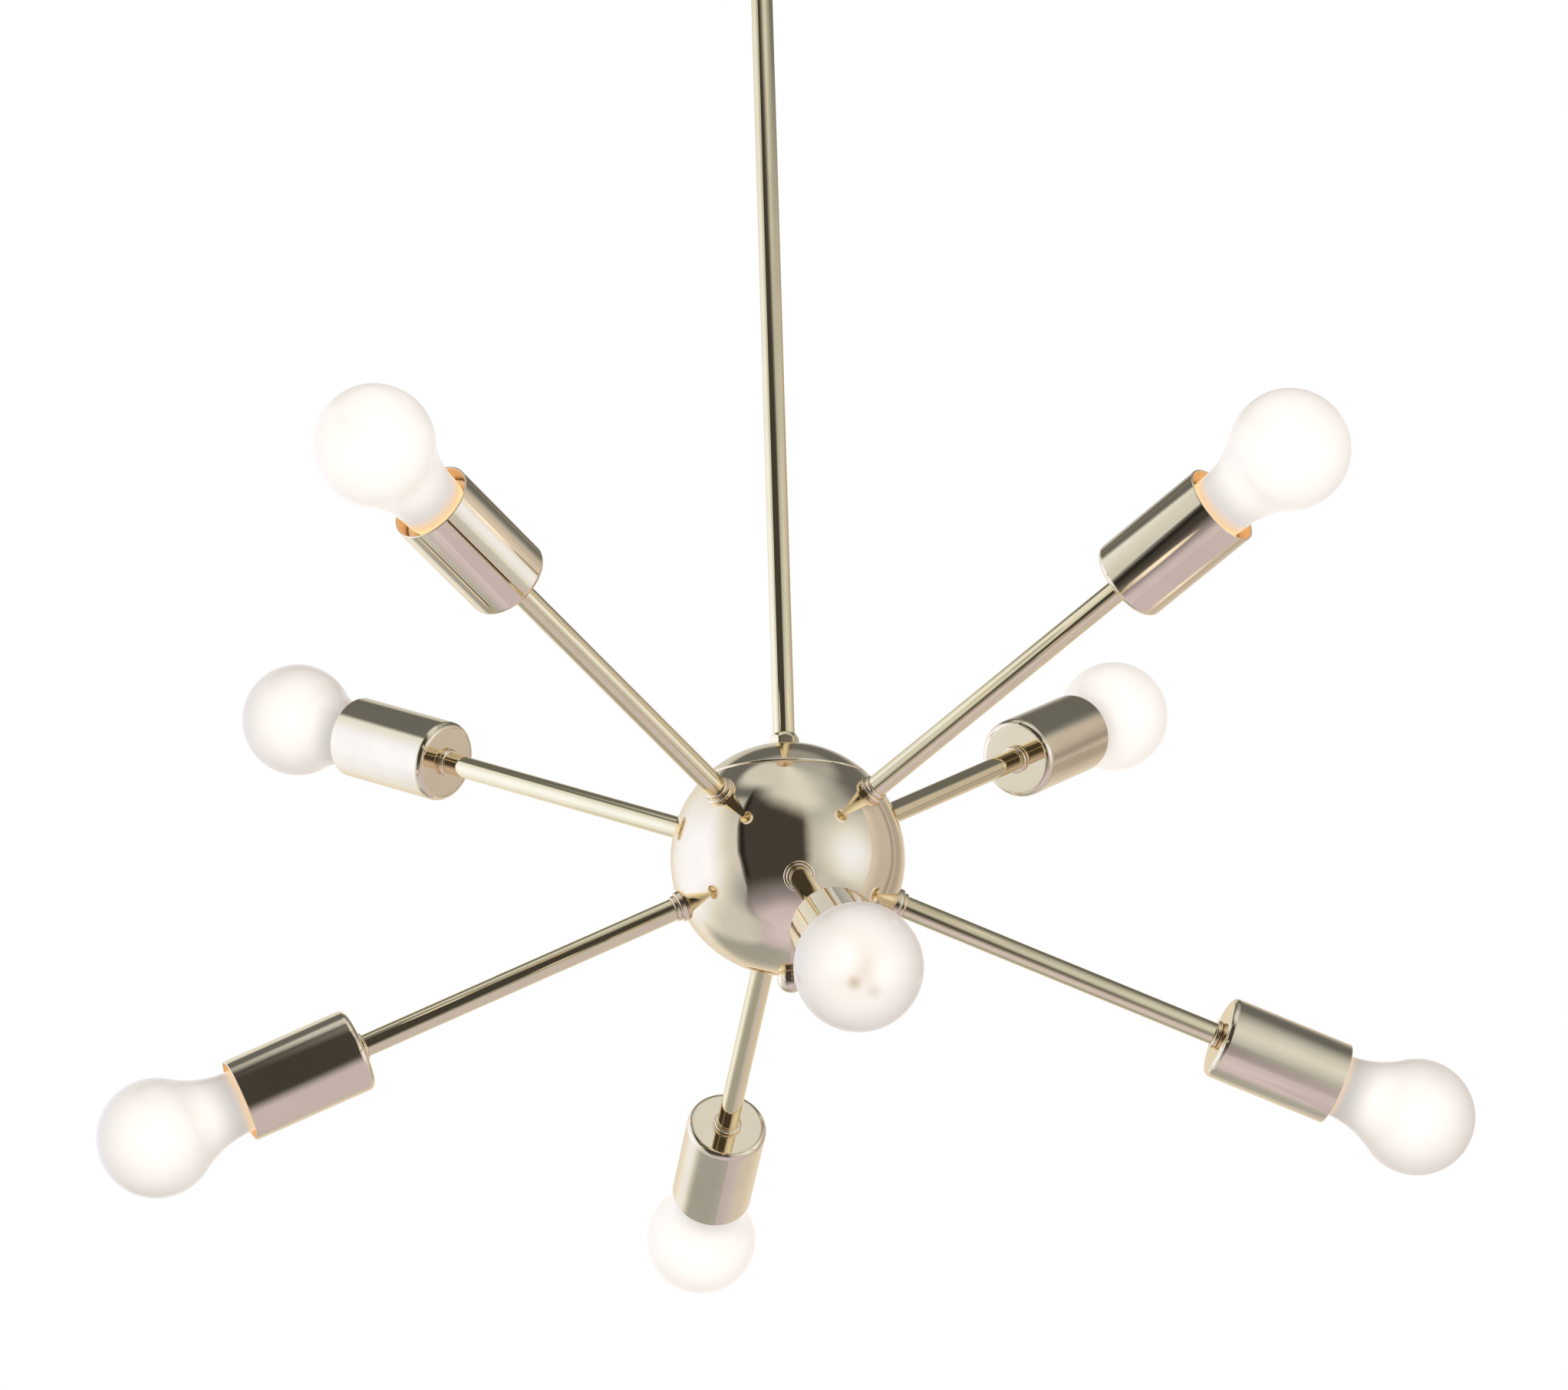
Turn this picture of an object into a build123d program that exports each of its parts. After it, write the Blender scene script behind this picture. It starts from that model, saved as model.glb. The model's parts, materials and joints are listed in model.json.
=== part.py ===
from build123d import *
from math import cos, radians, sin, sqrt, tan
import os

os.makedirs("parts", exist_ok=True)

# A sputnik chandelier: a hollow ball on a rigid stem, eight arms, a cup and a lamp on each.
# Millimetres, +Z up. The origin is on the ceiling, at the centre of the mounting strap.

# ---------------------------------------------------------------- clearances
THREAD_GAP = 0.05     # radial, between a thread drawn plain and its hole
RUNNING_GAP = 0.05    # radial, between a shaft and the bore it turns in
PLAY = 0.15           # axial, between faces that turn on each other
FREE_GAP = 0.3        # between pieces that move past each other
EASY_GAP = 0.5        # round a lead in the hole that it passes through

# ---------------------------------------------------------------- mounting strap and canopy
STRAP_LENGTH = 118.0
STRAP_WIDTH = 20.0
STRAP_THICKNESS = 2.0
BOX_SCREW_SPACING = 79.5    # between slot centres; reaches screws 70 to 89 apart
BOX_SLOT_LENGTH = 14.3
BOX_SLOT_WIDTH = 4.8
CANOPY_SCREW_SPACING = 107.0
CANOPY_SCREW_RADIUS = 2.0
CANOPY_RADIUS = 63.5
CANOPY_DEPTH = 25.0
CANOPY_WALL = 1.0
CANOPY_CORNER = 5.0
CAP_NUT_RADIUS = 4.5
CAP_NUT_HEIGHT = 8.0
TOP_SETBACK = 0.3           # how far the threaded ends stop short of the ceiling

# ---------------------------------------------------------------- threaded pipe and its nuts
PIPE_RADIUS = 4.85
PIPE_BORE = 3.5
NUT_FLATS = 14.0
NUT_HEIGHT = 3.0

# ---------------------------------------------------------------- swivel and knuckle
HOUSING_RADIUS = 12.0
HOUSING_TOP = 9.0
HOUSING_FLOOR = 4.0
HEAD_RADIUS = 9.0
HEAD_THICKNESS = 3.0
NECK_RADIUS = 6.25
FORK_RADIUS = 11.0
FORK_BRIDGE = 5.0
CHEEK_THICKNESS = 4.0
CHEEK_RADIUS = 8.5
BARREL_RADIUS = 7.8
BARREL_LENGTH = 12.0
TILT_LIMIT = 45.0
PIVOT_RADIUS = 2.5
PIVOT_GRIP = 3.0
SCREW_HEAD_RADIUS = 4.5
SCREW_HEAD_HEIGHT = 2.0
SCREW_SLOT = 1.0
BOSS_RADIUS = 8.0
BOSS_LENGTH = 16.0
STEM_SOCKET = 12.0

# ---------------------------------------------------------------- stem
STEM_RADIUS = 5.65
UPPER_STEM_LENGTH = 152.4
LOWER_STEM_LENGTH = 406.4
COUPLER_LENGTH = 24.0
TUBE_EDGE = 0.4
STEM_NUT_FLATS = 13.6
STEM_NUT_HEIGHT = 6.5

# ---------------------------------------------------------------- ball
BALL_RADIUS = 60.0
BALL_WALL = 1.5
SEAM_HEIGHT = 40.0          # of the cap's edge above the ball's centre
SEAM_GAP = 0.3
LIP_DEPTH = 4.0
LIP_WALL = 1.2
FINIAL_RADIUS = 7.3
FINIAL_DROP = 3.2           # of the finial's centre below its seat
FINIAL_THREAD = 5.0
BLOCK_RADIUS = 15.0
BLOCK_HEIGHT = 34.0
TERMINAL_DEPTH = 3.0

# ---------------------------------------------------------------- arms
UPPER_RISE = 24.0           # degrees above level
LOWER_DROP = 22.5           # degrees below level
ARM_RADIUS = 5.75
ARM_LENGTH = 173.0
NIPPLE_LENGTH = 21.5
NIPPLE_GRIP = 10.0          # of each nipple inside the arm's tube
FLANGE_RADIUS = 8.0
FLANGE_HEIGHT = 2.4
STEP_RADIUS = 6.75
STEP_HEIGHT = 2.6
CUP_RING_RADIUS = 7.5
CUP_RING_HEIGHT = 3.0
RING_EDGE = 0.9
# Each arm stands a degree or two off an even ring: turn and rise beyond its even place.
UPPER_DRIFT = [(-0.5, 0.5), (-1.5, 1.0), (2.0, 0.0), (0.5, -1.5)]
LOWER_DRIFT = [(-2.0, -1.5), (-3.0, 0.0), (4.0, 1.0), (1.0, 0.5)]

# ---------------------------------------------------------------- cup and lampholder
CUP_RADIUS = 21.5
CUP_WALL = 1.0
CUP_LENGTH = 66.0
CUP_CORNER = 3.5
HOLDER_SIDE_GAP = 0.9
HOLDER_BASE = 6.0
CHAMBER_RADIUS = 9.5
CHAMBER_HEIGHT = 15.0
BRIDGE_HEIGHT = 4.0
SHELL_HEIGHT = 27.0
SHELL_WALL = 0.4
MOUTH_DEPTH = 5.0
MOUTH_RADIUS = 17.4
MOUTH_TAPER = 1.8
CONTACT_HEIGHT = 5.65
CONTACT_FOOT = 4.0
CONTACT_TOP = 2.5
RIVET_RADIUS = 1.6

# ---------------------------------------------------------------- lamp
BULB_RADIUS = 30.15
BULB_LENGTH = 110.0
GLASS_WALL = 1.0
NECK_WAIST = 16.3
NECK_SHARE = 0.811          # of the way from the globe's centre down to the cap, to the waist
NECK_END = 14.0
CAP_LENGTH = 24.3
CAP_CREST = 13.0
CAP_ROOT = 12.3
CAP_WALL = 0.5
CAP_SKIRT = 2.5
CAP_TURNS = 5
BUTTON_RADIUS = 4.6
BUTTON_HEIGHT = 1.5
INSULATOR_HEIGHT = 3.8
INSULATOR_LIP = 2.0
MOUNT_RADIUS = 3.5
FILAMENT_DROP = 5.85        # below the globe's centre
PINCH_MARGIN = 1.5
PINCH_HEIGHT = 2.0
POST_RADIUS = 0.6
POST_SPREAD = 5.0
POST_HEIGHT = 22.0
FILAMENT_RADIUS = 1.4

# ---------------------------------------------------------------- leads
CABLE_RADIUS = 2.3
LEAD_RADIUS = 1.0
LEAD_SPREAD = 1.6           # of each lead's centre from the arm's axis

# ---------------------------------------------------------------- heights that follow
PIPE_HOLE = PIPE_RADIUS + THREAD_GAP
CANOPY_BOTTOM = -CANOPY_DEPTH
CAVITY_TOP = CANOPY_BOTTOM - HOUSING_TOP
HEAD_TOP = CAVITY_TOP - PLAY
HEAD_BOTTOM = HEAD_TOP - HEAD_THICKNESS
CAVITY_FLOOR = HEAD_BOTTOM - PLAY
HOUSING_BOTTOM = CAVITY_FLOOR - HOUSING_FLOOR
FORK_TOP = HOUSING_BOTTOM - FREE_GAP
BRIDGE_BOTTOM = FORK_TOP - FORK_BRIDGE
PIVOT_Z = BRIDGE_BOTTOM - CHEEK_RADIUS - FREE_GAP
BOSS_TOP = PIVOT_Z - CHEEK_RADIUS - 2 * FREE_GAP
BOSS_BOTTOM = BOSS_TOP - BOSS_LENGTH
STEM_TOP = BOSS_BOTTOM + STEM_SOCKET
STEM_JOINT = STEM_TOP - UPPER_STEM_LENGTH
STEM_BOTTOM = STEM_JOINT - LOWER_STEM_LENGTH
STEM_SEAT = sqrt(BALL_RADIUS ** 2 - (STEM_NUT_FLATS / sqrt(3)) ** 2)
FINIAL_SEAT_RADIUS = sqrt(FINIAL_RADIUS ** 2 - FINIAL_DROP ** 2)
FINIAL_SEAT = sqrt(BALL_RADIUS ** 2 - FINIAL_SEAT_RADIUS ** 2)
BALL_Z = STEM_BOTTOM - STEM_NUT_HEIGHT - STEM_SEAT

# Distances along an arm, from the ball's centre.
BALL_INSIDE = BALL_RADIUS - BALL_WALL
NUT_SEAT = sqrt(BALL_INSIDE ** 2 - (NUT_FLATS / sqrt(3)) ** 2)
ARM_START = BALL_RADIUS + FLANGE_HEIGHT + STEP_HEIGHT
ARM_END = ARM_START + ARM_LENGTH
CUP_FACE = ARM_END + CUP_RING_HEIGHT
CUP_FLOOR = CUP_FACE + CUP_WALL
CUP_RIM = CUP_FACE + CUP_LENGTH
CHAMBER_BOTTOM = CUP_FLOOR + HOLDER_BASE
CHAMBER_TOP = CHAMBER_BOTTOM + CHAMBER_HEIGHT
SHELL_BOTTOM = CHAMBER_TOP + BRIDGE_HEIGHT
SHELL_TOP = SHELL_BOTTOM + SHELL_HEIGHT
HOLDER_TOP = SHELL_TOP + MOUTH_DEPTH
LAMP_SEAT = SHELL_BOTTOM + CONTACT_HEIGHT + FREE_GAP
LEAD_START = BLOCK_RADIUS - TERMINAL_DEPTH


# ---------------------------------------------------------------- helpers
def turned(points):
    """A solid turned about Z from a closed outline of (radius, height) points."""
    return revolve(make_face(Plane.XZ * Polyline(*points, close=True)), Axis.Z)


def tube(outer, inner, bottom, top):
    """A plain tube."""
    return turned([(inner, bottom), (outer, bottom), (outer, top), (inner, top)])


def rod(radius, bottom, top):
    """A plain round bar."""
    return Pos(0, 0, (bottom + top) / 2) * Cylinder(radius, top - bottom)


def outer_circles(piece):
    """The circular edges of the piece's largest radius."""
    return piece.edges().filter_by(GeomType.CIRCLE).group_by(SortBy.RADIUS)[-1]


def ring(outer, inner, bottom, top, edge):
    """A tube with its outer edges rounded."""
    piece = tube(outer, inner, bottom, top)
    return fillet(outer_circles(piece), min(edge, (top - bottom) * 0.45))


def hex_prism(flats, bottom, top):
    """A hexagonal bar."""
    outline = RegularPolygon(flats / 2, 6, major_radius=False)
    return Pos(0, 0, bottom) * extrude(outline, top - bottom)


def hex_nut(flats, bore, bottom, top):
    """A hexagonal nut with its corners turned down at both ends."""
    corner = flats / sqrt(3)
    flat = flats / 2
    trim = corner - flat
    barrel = turned([(0, bottom), (flat, bottom), (corner, bottom + trim * 0.6),
                     (corner, top - trim * 0.6), (flat, top), (0, top)])
    return (hex_prism(flats, bottom, top) & barrel) - rod(bore, bottom - 1, top + 1)


def sphere_cut(radius, bottom, top):
    """The slice of a sphere between two heights."""
    band = rod(radius * 2, bottom, top)
    return Sphere(radius) & band


def aimed(piece, turn, rise):
    """Moves a piece from the arm's own frame, +Z outwards, to its place on the ball."""
    flat = cos(radians(rise))
    along = (flat * cos(radians(turn)), flat * sin(radians(turn)), sin(radians(rise)))
    side = (-sin(radians(turn)), cos(radians(turn)), 0)
    return Plane(origin=(0, 0, BALL_Z), x_dir=side, z_dir=along).location * piece


def at_ball(piece):
    """Moves a piece drawn about the ball's centre to its place."""
    return Pos(0, 0, BALL_Z) * piece


def save(name, *pieces):
    """Writes one sub-part, of one solid or a group of separate ones."""
    export_step(Compound(children=list(pieces)), "parts/" + name + ".step")


def arm_aims():
    """Turn and rise of every arm: the four upper ones, then the four lower ones."""
    upper = [(-135 + 90 * i + turn, UPPER_RISE + rise) for i, (turn, rise) in enumerate(UPPER_DRIFT)]
    lower = [(180 + 90 * i + turn, rise - LOWER_DROP) for i, (turn, rise) in enumerate(LOWER_DRIFT)]
    return upper + lower


# ---------------------------------------------------------------- ceiling pieces
def mounting_strap():
    """A steel bar across the outlet box, slotted for its screws and tapped for the rest."""
    bar = Box(STRAP_LENGTH, STRAP_WIDTH, STRAP_THICKNESS)
    bar = Pos(0, 0, -STRAP_THICKNESS / 2) * fillet(bar.edges().filter_by(Axis.Z), STRAP_WIDTH * 0.2)
    slot = extrude(SlotOverall(BOX_SLOT_LENGTH, BOX_SLOT_WIDTH), STRAP_THICKNESS * 2, both=True)
    bar -= rod(PIPE_HOLE, -STRAP_THICKNESS * 2, STRAP_THICKNESS)
    for side in (-1, 1):
        bar -= Pos(side * BOX_SCREW_SPACING / 2, 0, 0) * slot
        screw_hole = rod(CANOPY_SCREW_RADIUS + THREAD_GAP, -STRAP_THICKNESS * 2, STRAP_THICKNESS)
        bar -= Pos(side * CANOPY_SCREW_SPACING / 2, 0, 0) * screw_hole
    return bar


def canopy():
    """A shallow dish that covers the outlet box."""
    outside = rod(CANOPY_RADIUS, CANOPY_BOTTOM, 0)
    outside = fillet(outside.edges().group_by(Axis.Z)[0], CANOPY_CORNER)
    inside = rod(CANOPY_RADIUS - CANOPY_WALL, CANOPY_BOTTOM + CANOPY_WALL, 1)
    inside = fillet(inside.edges().group_by(Axis.Z)[0], CANOPY_CORNER - CANOPY_WALL)
    dish = outside - inside - rod(PIPE_HOLE, CANOPY_BOTTOM - 1, 0)
    for side in (-1, 1):
        hole = rod(CANOPY_SCREW_RADIUS + FREE_GAP, CANOPY_BOTTOM - 1, 0)
        dish -= Pos(side * CANOPY_SCREW_SPACING / 2, 0, 0) * hole
    return dish


def canopy_screws():
    """Two studs that hang from the strap and hold the canopy up."""
    end = CANOPY_BOTTOM - CAP_NUT_HEIGHT * 0.6
    stud = rod(CANOPY_SCREW_RADIUS, end, -TOP_SETBACK)
    return [Pos(side * CANOPY_SCREW_SPACING / 2, 0, 0) * stud for side in (-1, 1)]


def canopy_cap_nuts():
    """Two domed nuts under the canopy."""
    body = rod(CAP_NUT_RADIUS, CANOPY_BOTTOM - CAP_NUT_HEIGHT, CANOPY_BOTTOM)
    body = fillet(body.edges().group_by(Axis.Z)[0], CAP_NUT_RADIUS * 0.9)
    body -= rod(CANOPY_SCREW_RADIUS + THREAD_GAP, CANOPY_BOTTOM - CAP_NUT_HEIGHT * 0.65, CANOPY_BOTTOM + 1)
    return [Pos(side * CANOPY_SCREW_SPACING / 2, 0, 0) * body for side in (-1, 1)]


def hanger_nipple():
    """The threaded pipe from the strap, through the canopy, into the swivel housing."""
    return tube(PIPE_RADIUS, PIPE_BORE, CAVITY_TOP + PLAY, -TOP_SETBACK)


def hanger_nuts():
    """A nut under the strap and one on the canopy's floor."""
    under_strap = hex_nut(NUT_FLATS, PIPE_HOLE, -STRAP_THICKNESS - NUT_HEIGHT, -STRAP_THICKNESS)
    floor = CANOPY_BOTTOM + CANOPY_WALL
    on_canopy = hex_nut(NUT_FLATS, PIPE_HOLE, floor, floor + NUT_HEIGHT)
    return [under_strap, on_canopy]


def swivel_housing():
    """A turned body, tapped above, whose floor is spun in under the fork's head."""
    neck_bore = NECK_RADIUS + RUNNING_GAP
    cavity = HEAD_RADIUS + FREE_GAP
    body = turned([(PIPE_HOLE, CANOPY_BOTTOM), (HOUSING_RADIUS, CANOPY_BOTTOM),
                   (HOUSING_RADIUS, HOUSING_BOTTOM), (neck_bore, HOUSING_BOTTOM),
                   (neck_bore, CAVITY_FLOOR), (cavity, CAVITY_FLOOR),
                   (cavity, CAVITY_TOP), (PIPE_HOLE, CAVITY_TOP)])
    return fillet(outer_circles(body), HOUSING_FLOOR * 0.25)


# ---------------------------------------------------------------- swivel and knuckle
def swivel_fork():
    """A headed stud that turns in the housing, with two cheeks for the knuckle."""
    cheek_gap = BARREL_LENGTH / 2 + FREE_GAP
    cheek_face = cheek_gap + CHEEK_THICKNESS
    bore = CABLE_RADIUS + EASY_GAP
    stud = rod(HEAD_RADIUS, HEAD_BOTTOM, HEAD_TOP) + rod(NECK_RADIUS, FORK_TOP, HEAD_BOTTOM)
    body = rod(FORK_RADIUS, PIVOT_Z - CHEEK_RADIUS, FORK_TOP)
    reach = FORK_TOP - PIVOT_Z
    side_view = Pos(0, 0, PIVOT_Z) * Rot(0, 90, 0) * Cylinder(CHEEK_RADIUS, cheek_face * 2)
    side_view += Pos(0, 0, PIVOT_Z + reach / 2) * Box(cheek_face * 2, CHEEK_RADIUS * 2, reach)
    bridge = Box(cheek_face * 2, FORK_RADIUS * 3, FORK_BRIDGE * 2)
    side_view += rod(FORK_RADIUS, BRIDGE_BOTTOM, FORK_TOP) & (Pos(0, 0, BRIDGE_BOTTOM) * bridge)
    slot_height = BRIDGE_BOTTOM - PIVOT_Z + CHEEK_RADIUS * 2
    slot_box = Box(cheek_gap * 2, FORK_RADIUS * 3, slot_height)
    body = (body & side_view) - Pos(0, 0, BRIDGE_BOTTOM - slot_height / 2) * slot_box
    pin_hole = Rot(0, 90, 0) * Cylinder(PIVOT_RADIUS + RUNNING_GAP, cheek_face * 3)
    body -= Pos(0, 0, PIVOT_Z) * pin_hole
    return stud + body - rod(bore, BRIDGE_BOTTOM - 1, HEAD_TOP + 1)


def swivel_knuckle():
    """The lower half of the knuckle: a slotted barrel on a boss that takes the stem."""
    bore = CABLE_RADIUS + EASY_GAP
    barrel = Rot(0, 90, 0) * Cylinder(BARREL_RADIUS, BARREL_LENGTH)
    tongue_drop = PIVOT_Z - BOSS_TOP
    tongue_width = BARREL_RADIUS * 1.5
    tongue = Pos(0, 0, -tongue_drop / 2) * Box(BARREL_LENGTH, tongue_width, tongue_drop)
    boss = ring(BOSS_RADIUS, bore, BOSS_BOTTOM - PIVOT_Z, BOSS_TOP - PIVOT_Z, RING_EDGE)
    body = barrel + tongue + boss
    spread = TILT_LIMIT + 5
    reach = BARREL_RADIUS * 2
    low = -bore / sin(radians(spread))
    high = low + reach / tan(radians(spread))
    wedge = make_face(Polyline((0, low), (reach, high), (reach, reach * 2), (-reach, reach * 2),
                               (-reach, high), close=True))
    body -= extrude(Plane.YZ * wedge, bore, both=True)
    body -= rod(bore, BOSS_BOTTOM - PIVOT_Z - 1, 0)
    body -= rod(STEM_RADIUS + THREAD_GAP, BOSS_BOTTOM - PIVOT_Z - 1, STEM_TOP - PIVOT_Z)
    thread = Pos(BARREL_LENGTH / 2, 0, 0) * Rot(0, 90, 0) * Cylinder(PIVOT_RADIUS + THREAD_GAP, PIVOT_GRIP * 2)
    for side in (0, 180):
        body -= Rot(0, 0, side) * thread
    return Pos(0, 0, PIVOT_Z) * body


def knuckle_screws():
    """Two shoulder screws, one through each cheek into the barrel."""
    start = BARREL_LENGTH / 2 - PIVOT_GRIP + FREE_GAP
    cheek_face = BARREL_LENGTH / 2 + FREE_GAP + CHEEK_THICKNESS
    head = cheek_face + PLAY
    screw = rod(PIVOT_RADIUS, start, head) + rod(SCREW_HEAD_RADIUS, head, head + SCREW_HEAD_HEIGHT)
    slot = Box(SCREW_HEAD_RADIUS * 3, SCREW_SLOT, SCREW_SLOT * 2)
    screw -= Pos(0, 0, head + SCREW_HEAD_HEIGHT) * slot
    return [Pos(0, 0, PIVOT_Z) * Rot(0, 0, side) * Rot(0, 90, 0) * screw for side in (0, 180)]


# ---------------------------------------------------------------- stem
def stem_tube(bottom, top):
    """A drawn tube, tapped at both ends, with its outer edges eased."""
    return ring(STEM_RADIUS, PIPE_HOLE, bottom, top, TUBE_EDGE)


def stem_coupler():
    """The threaded pipe inside the joint of the two stems."""
    return tube(PIPE_RADIUS, PIPE_BORE, STEM_JOINT - COUPLER_LENGTH / 2, STEM_JOINT + COUPLER_LENGTH / 2)


def stem_nut():
    """The hexagonal collar between the stem and the ball, its upper corners turned down."""
    corner = STEM_NUT_FLATS / sqrt(3)
    top = STEM_SEAT + STEM_NUT_HEIGHT
    cone = turned([(0, STEM_SEAT), (corner, STEM_SEAT), (corner, STEM_SEAT + STEM_NUT_HEIGHT * 0.6),
                   (STEM_RADIUS + FREE_GAP, top), (0, top)])
    nut = hex_prism(STEM_NUT_FLATS, STEM_SEAT, top) & cone
    return nut - rod(PIPE_HOLE, STEM_SEAT - 1, top + 1)


# ---------------------------------------------------------------- ball
def ball_cap():
    """The ball's removable top, with a lip inside its lower half."""
    seat = rod(BALL_RADIUS, STEM_SEAT, BALL_RADIUS * 2)
    dome = sphere_cut(BALL_RADIUS, SEAM_HEIGHT + SEAM_GAP, BALL_RADIUS)
    dome -= Sphere(BALL_INSIDE)
    lip_outside = BALL_INSIDE - THREAD_GAP
    lip = sphere_cut(lip_outside, SEAM_HEIGHT - LIP_DEPTH, SEAM_HEIGHT + LIP_DEPTH)
    lip -= Sphere(lip_outside - LIP_WALL)
    collar = sphere_cut(BALL_INSIDE + BALL_WALL / 2, SEAM_HEIGHT + SEAM_GAP, SEAM_HEIGHT + LIP_DEPTH)
    collar -= Sphere(lip_outside - LIP_WALL)
    return dome + lip + collar - seat - rod(PIPE_HOLE, 0, BALL_RADIUS * 2)


def ball_shell(aims):
    """The ball up to the seam, drilled for the arms and the tie rod."""
    shell = sphere_cut(BALL_RADIUS, -FINIAL_SEAT, SEAM_HEIGHT) - Sphere(BALL_INSIDE)
    shell = at_ball(shell - rod(PIPE_HOLE, -BALL_RADIUS * 2, 0))
    for turn, rise in aims:
        shell -= aimed(rod(PIPE_HOLE, BALL_INSIDE - BALL_WALL, BALL_RADIUS + 1), turn, rise)
    return shell


def tie_rod():
    """The threaded pipe from the stem to the finial, slotted at the junction block."""
    bottom = -FINIAL_SEAT - FINIAL_THREAD + FREE_GAP
    pipe = tube(PIPE_RADIUS, PIPE_BORE, bottom, STEM_SEAT + STEM_NUT_HEIGHT + NIPPLE_GRIP)
    window = Rot(0, 90, 0) * Cylinder(LEAD_RADIUS + EASY_GAP, PIPE_RADIUS * 3)
    return pipe - window


def finial():
    """The ball nut that closes the bottom."""
    knob = Pos(0, 0, -FINIAL_SEAT - FINIAL_DROP) * Sphere(FINIAL_RADIUS)
    knob &= rod(FINIAL_RADIUS * 2, -FINIAL_SEAT - FINIAL_RADIUS * 3, -FINIAL_SEAT)
    return knob - rod(PIPE_HOLE, -FINIAL_SEAT - FINIAL_THREAD, 0)


def junction_block(aims):
    """The insulating block on the tie rod, where the arms' leads meet the stem's cable."""
    block = ring(BLOCK_RADIUS, PIPE_HOLE, -BLOCK_HEIGHT / 2, BLOCK_HEIGHT / 2, RING_EDGE)
    feed = Rot(0, 90, 0) * Cylinder(LEAD_RADIUS + EASY_GAP / 2, (PIPE_RADIUS + TERMINAL_DEPTH + FREE_GAP) * 2)
    block = at_ball(block - feed)
    for turn, rise in aims:
        for side in (-1, 1):
            hole = rod(LEAD_RADIUS + EASY_GAP / 2, LEAD_START - FREE_GAP, BLOCK_RADIUS * 2)
            block -= aimed(Pos(side * LEAD_SPREAD, 0, 0) * hole, turn, rise)
    return block


def lock_nuts(aims):
    """The nuts on the arms' nipples, in the ball and in the cups, and two at the block."""
    half = BLOCK_HEIGHT / 2
    nuts = [at_ball(hex_nut(NUT_FLATS, PIPE_HOLE, half, half + NUT_HEIGHT)),
            at_ball(hex_nut(NUT_FLATS, PIPE_HOLE, -half - NUT_HEIGHT, -half))]
    in_ball = hex_nut(NUT_FLATS, PIPE_HOLE, NUT_SEAT - NUT_HEIGHT, NUT_SEAT)
    in_cup = hex_nut(NUT_FLATS, PIPE_HOLE, CHAMBER_BOTTOM, CHAMBER_BOTTOM + NUT_HEIGHT)
    for turn, rise in aims:
        nuts.append(aimed(in_ball, turn, rise))
        nuts.append(aimed(in_cup, turn, rise))
    return nuts


# ---------------------------------------------------------------- arm pieces, +Z outwards
def arm_collar():
    """The two-step collar on the ball, hollowed to its curve."""
    base = BALL_RADIUS - FLANGE_HEIGHT
    flange = tube(FLANGE_RADIUS, PIPE_HOLE, base, BALL_RADIUS + FLANGE_HEIGHT)
    flange = fillet(outer_circles(flange).sort_by(Axis.Z)[-1], RING_EDGE)
    step = ring(STEP_RADIUS, PIPE_HOLE, BALL_RADIUS + FLANGE_HEIGHT * 0.8, ARM_START, RING_EDGE)
    return flange + step - Sphere(BALL_RADIUS + THREAD_GAP)


def arm_tube():
    """The arm itself, a drawn tube."""
    return ring(ARM_RADIUS, PIPE_HOLE, ARM_START, ARM_END, TUBE_EDGE)


def arm_nipples():
    """The two short threaded pipes at the arm's ends."""
    ball_end = ARM_START + NIPPLE_GRIP
    cup_end = ARM_END - NIPPLE_GRIP
    return [tube(PIPE_RADIUS, PIPE_BORE, ball_end - NIPPLE_LENGTH, ball_end),
            tube(PIPE_RADIUS, PIPE_BORE, cup_end, cup_end + NIPPLE_LENGTH)]


def cup_ring():
    """The rounded collar between the arm and the cup."""
    return ring(CUP_RING_RADIUS, PIPE_HOLE, ARM_END, CUP_FACE, CUP_RING_HEIGHT * 0.4)


def cup():
    """The spun cup that hides the lampholder."""
    outside = rod(CUP_RADIUS, CUP_FACE, CUP_RIM)
    outside = fillet(outside.edges().group_by(Axis.Z)[0], CUP_CORNER)
    inside = rod(CUP_RADIUS - CUP_WALL, CUP_FLOOR, CUP_RIM + 1)
    inside = fillet(inside.edges().group_by(Axis.Z)[0], CUP_CORNER - CUP_WALL)
    shell = outside - inside - rod(PIPE_HOLE, CUP_FACE - 1, CUP_FLOOR + 1)
    rim = shell.edges().group_by(Axis.Z)[-1]
    return fillet(rim, CUP_WALL * 0.3)


def lampholder():
    """The ceramic holder: terminal chamber, bridge, bore for the screw shell and mouth."""
    outer = CUP_RADIUS - CUP_WALL - HOLDER_SIDE_GAP
    shell_bore = CAP_CREST + FREE_GAP + SHELL_WALL + THREAD_GAP
    rivet_hole = RIVET_RADIUS + THREAD_GAP
    body = turned([(PIPE_HOLE, CUP_FLOOR), (outer, CUP_FLOOR), (outer, HOLDER_TOP),
                   (MOUTH_RADIUS, HOLDER_TOP), (MOUTH_RADIUS - MOUTH_TAPER, SHELL_TOP),
                   (shell_bore, SHELL_TOP), (shell_bore, SHELL_BOTTOM),
                   (rivet_hole, SHELL_BOTTOM), (rivet_hole, CHAMBER_TOP),
                   (CHAMBER_RADIUS, CHAMBER_TOP), (CHAMBER_RADIUS, CHAMBER_BOTTOM),
                   (PIPE_HOLE, CHAMBER_BOTTOM)])
    rounded = outer_circles(body)
    return fillet(rounded.sort_by(Axis.Z)[0], CUP_CORNER - CUP_WALL)


def screw_shell():
    """The thin sleeve that takes the lamp's cap, drawn without its thread."""
    inner = CAP_CREST + FREE_GAP
    return tube(inner + SHELL_WALL, inner, SHELL_BOTTOM, SHELL_TOP)


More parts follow.
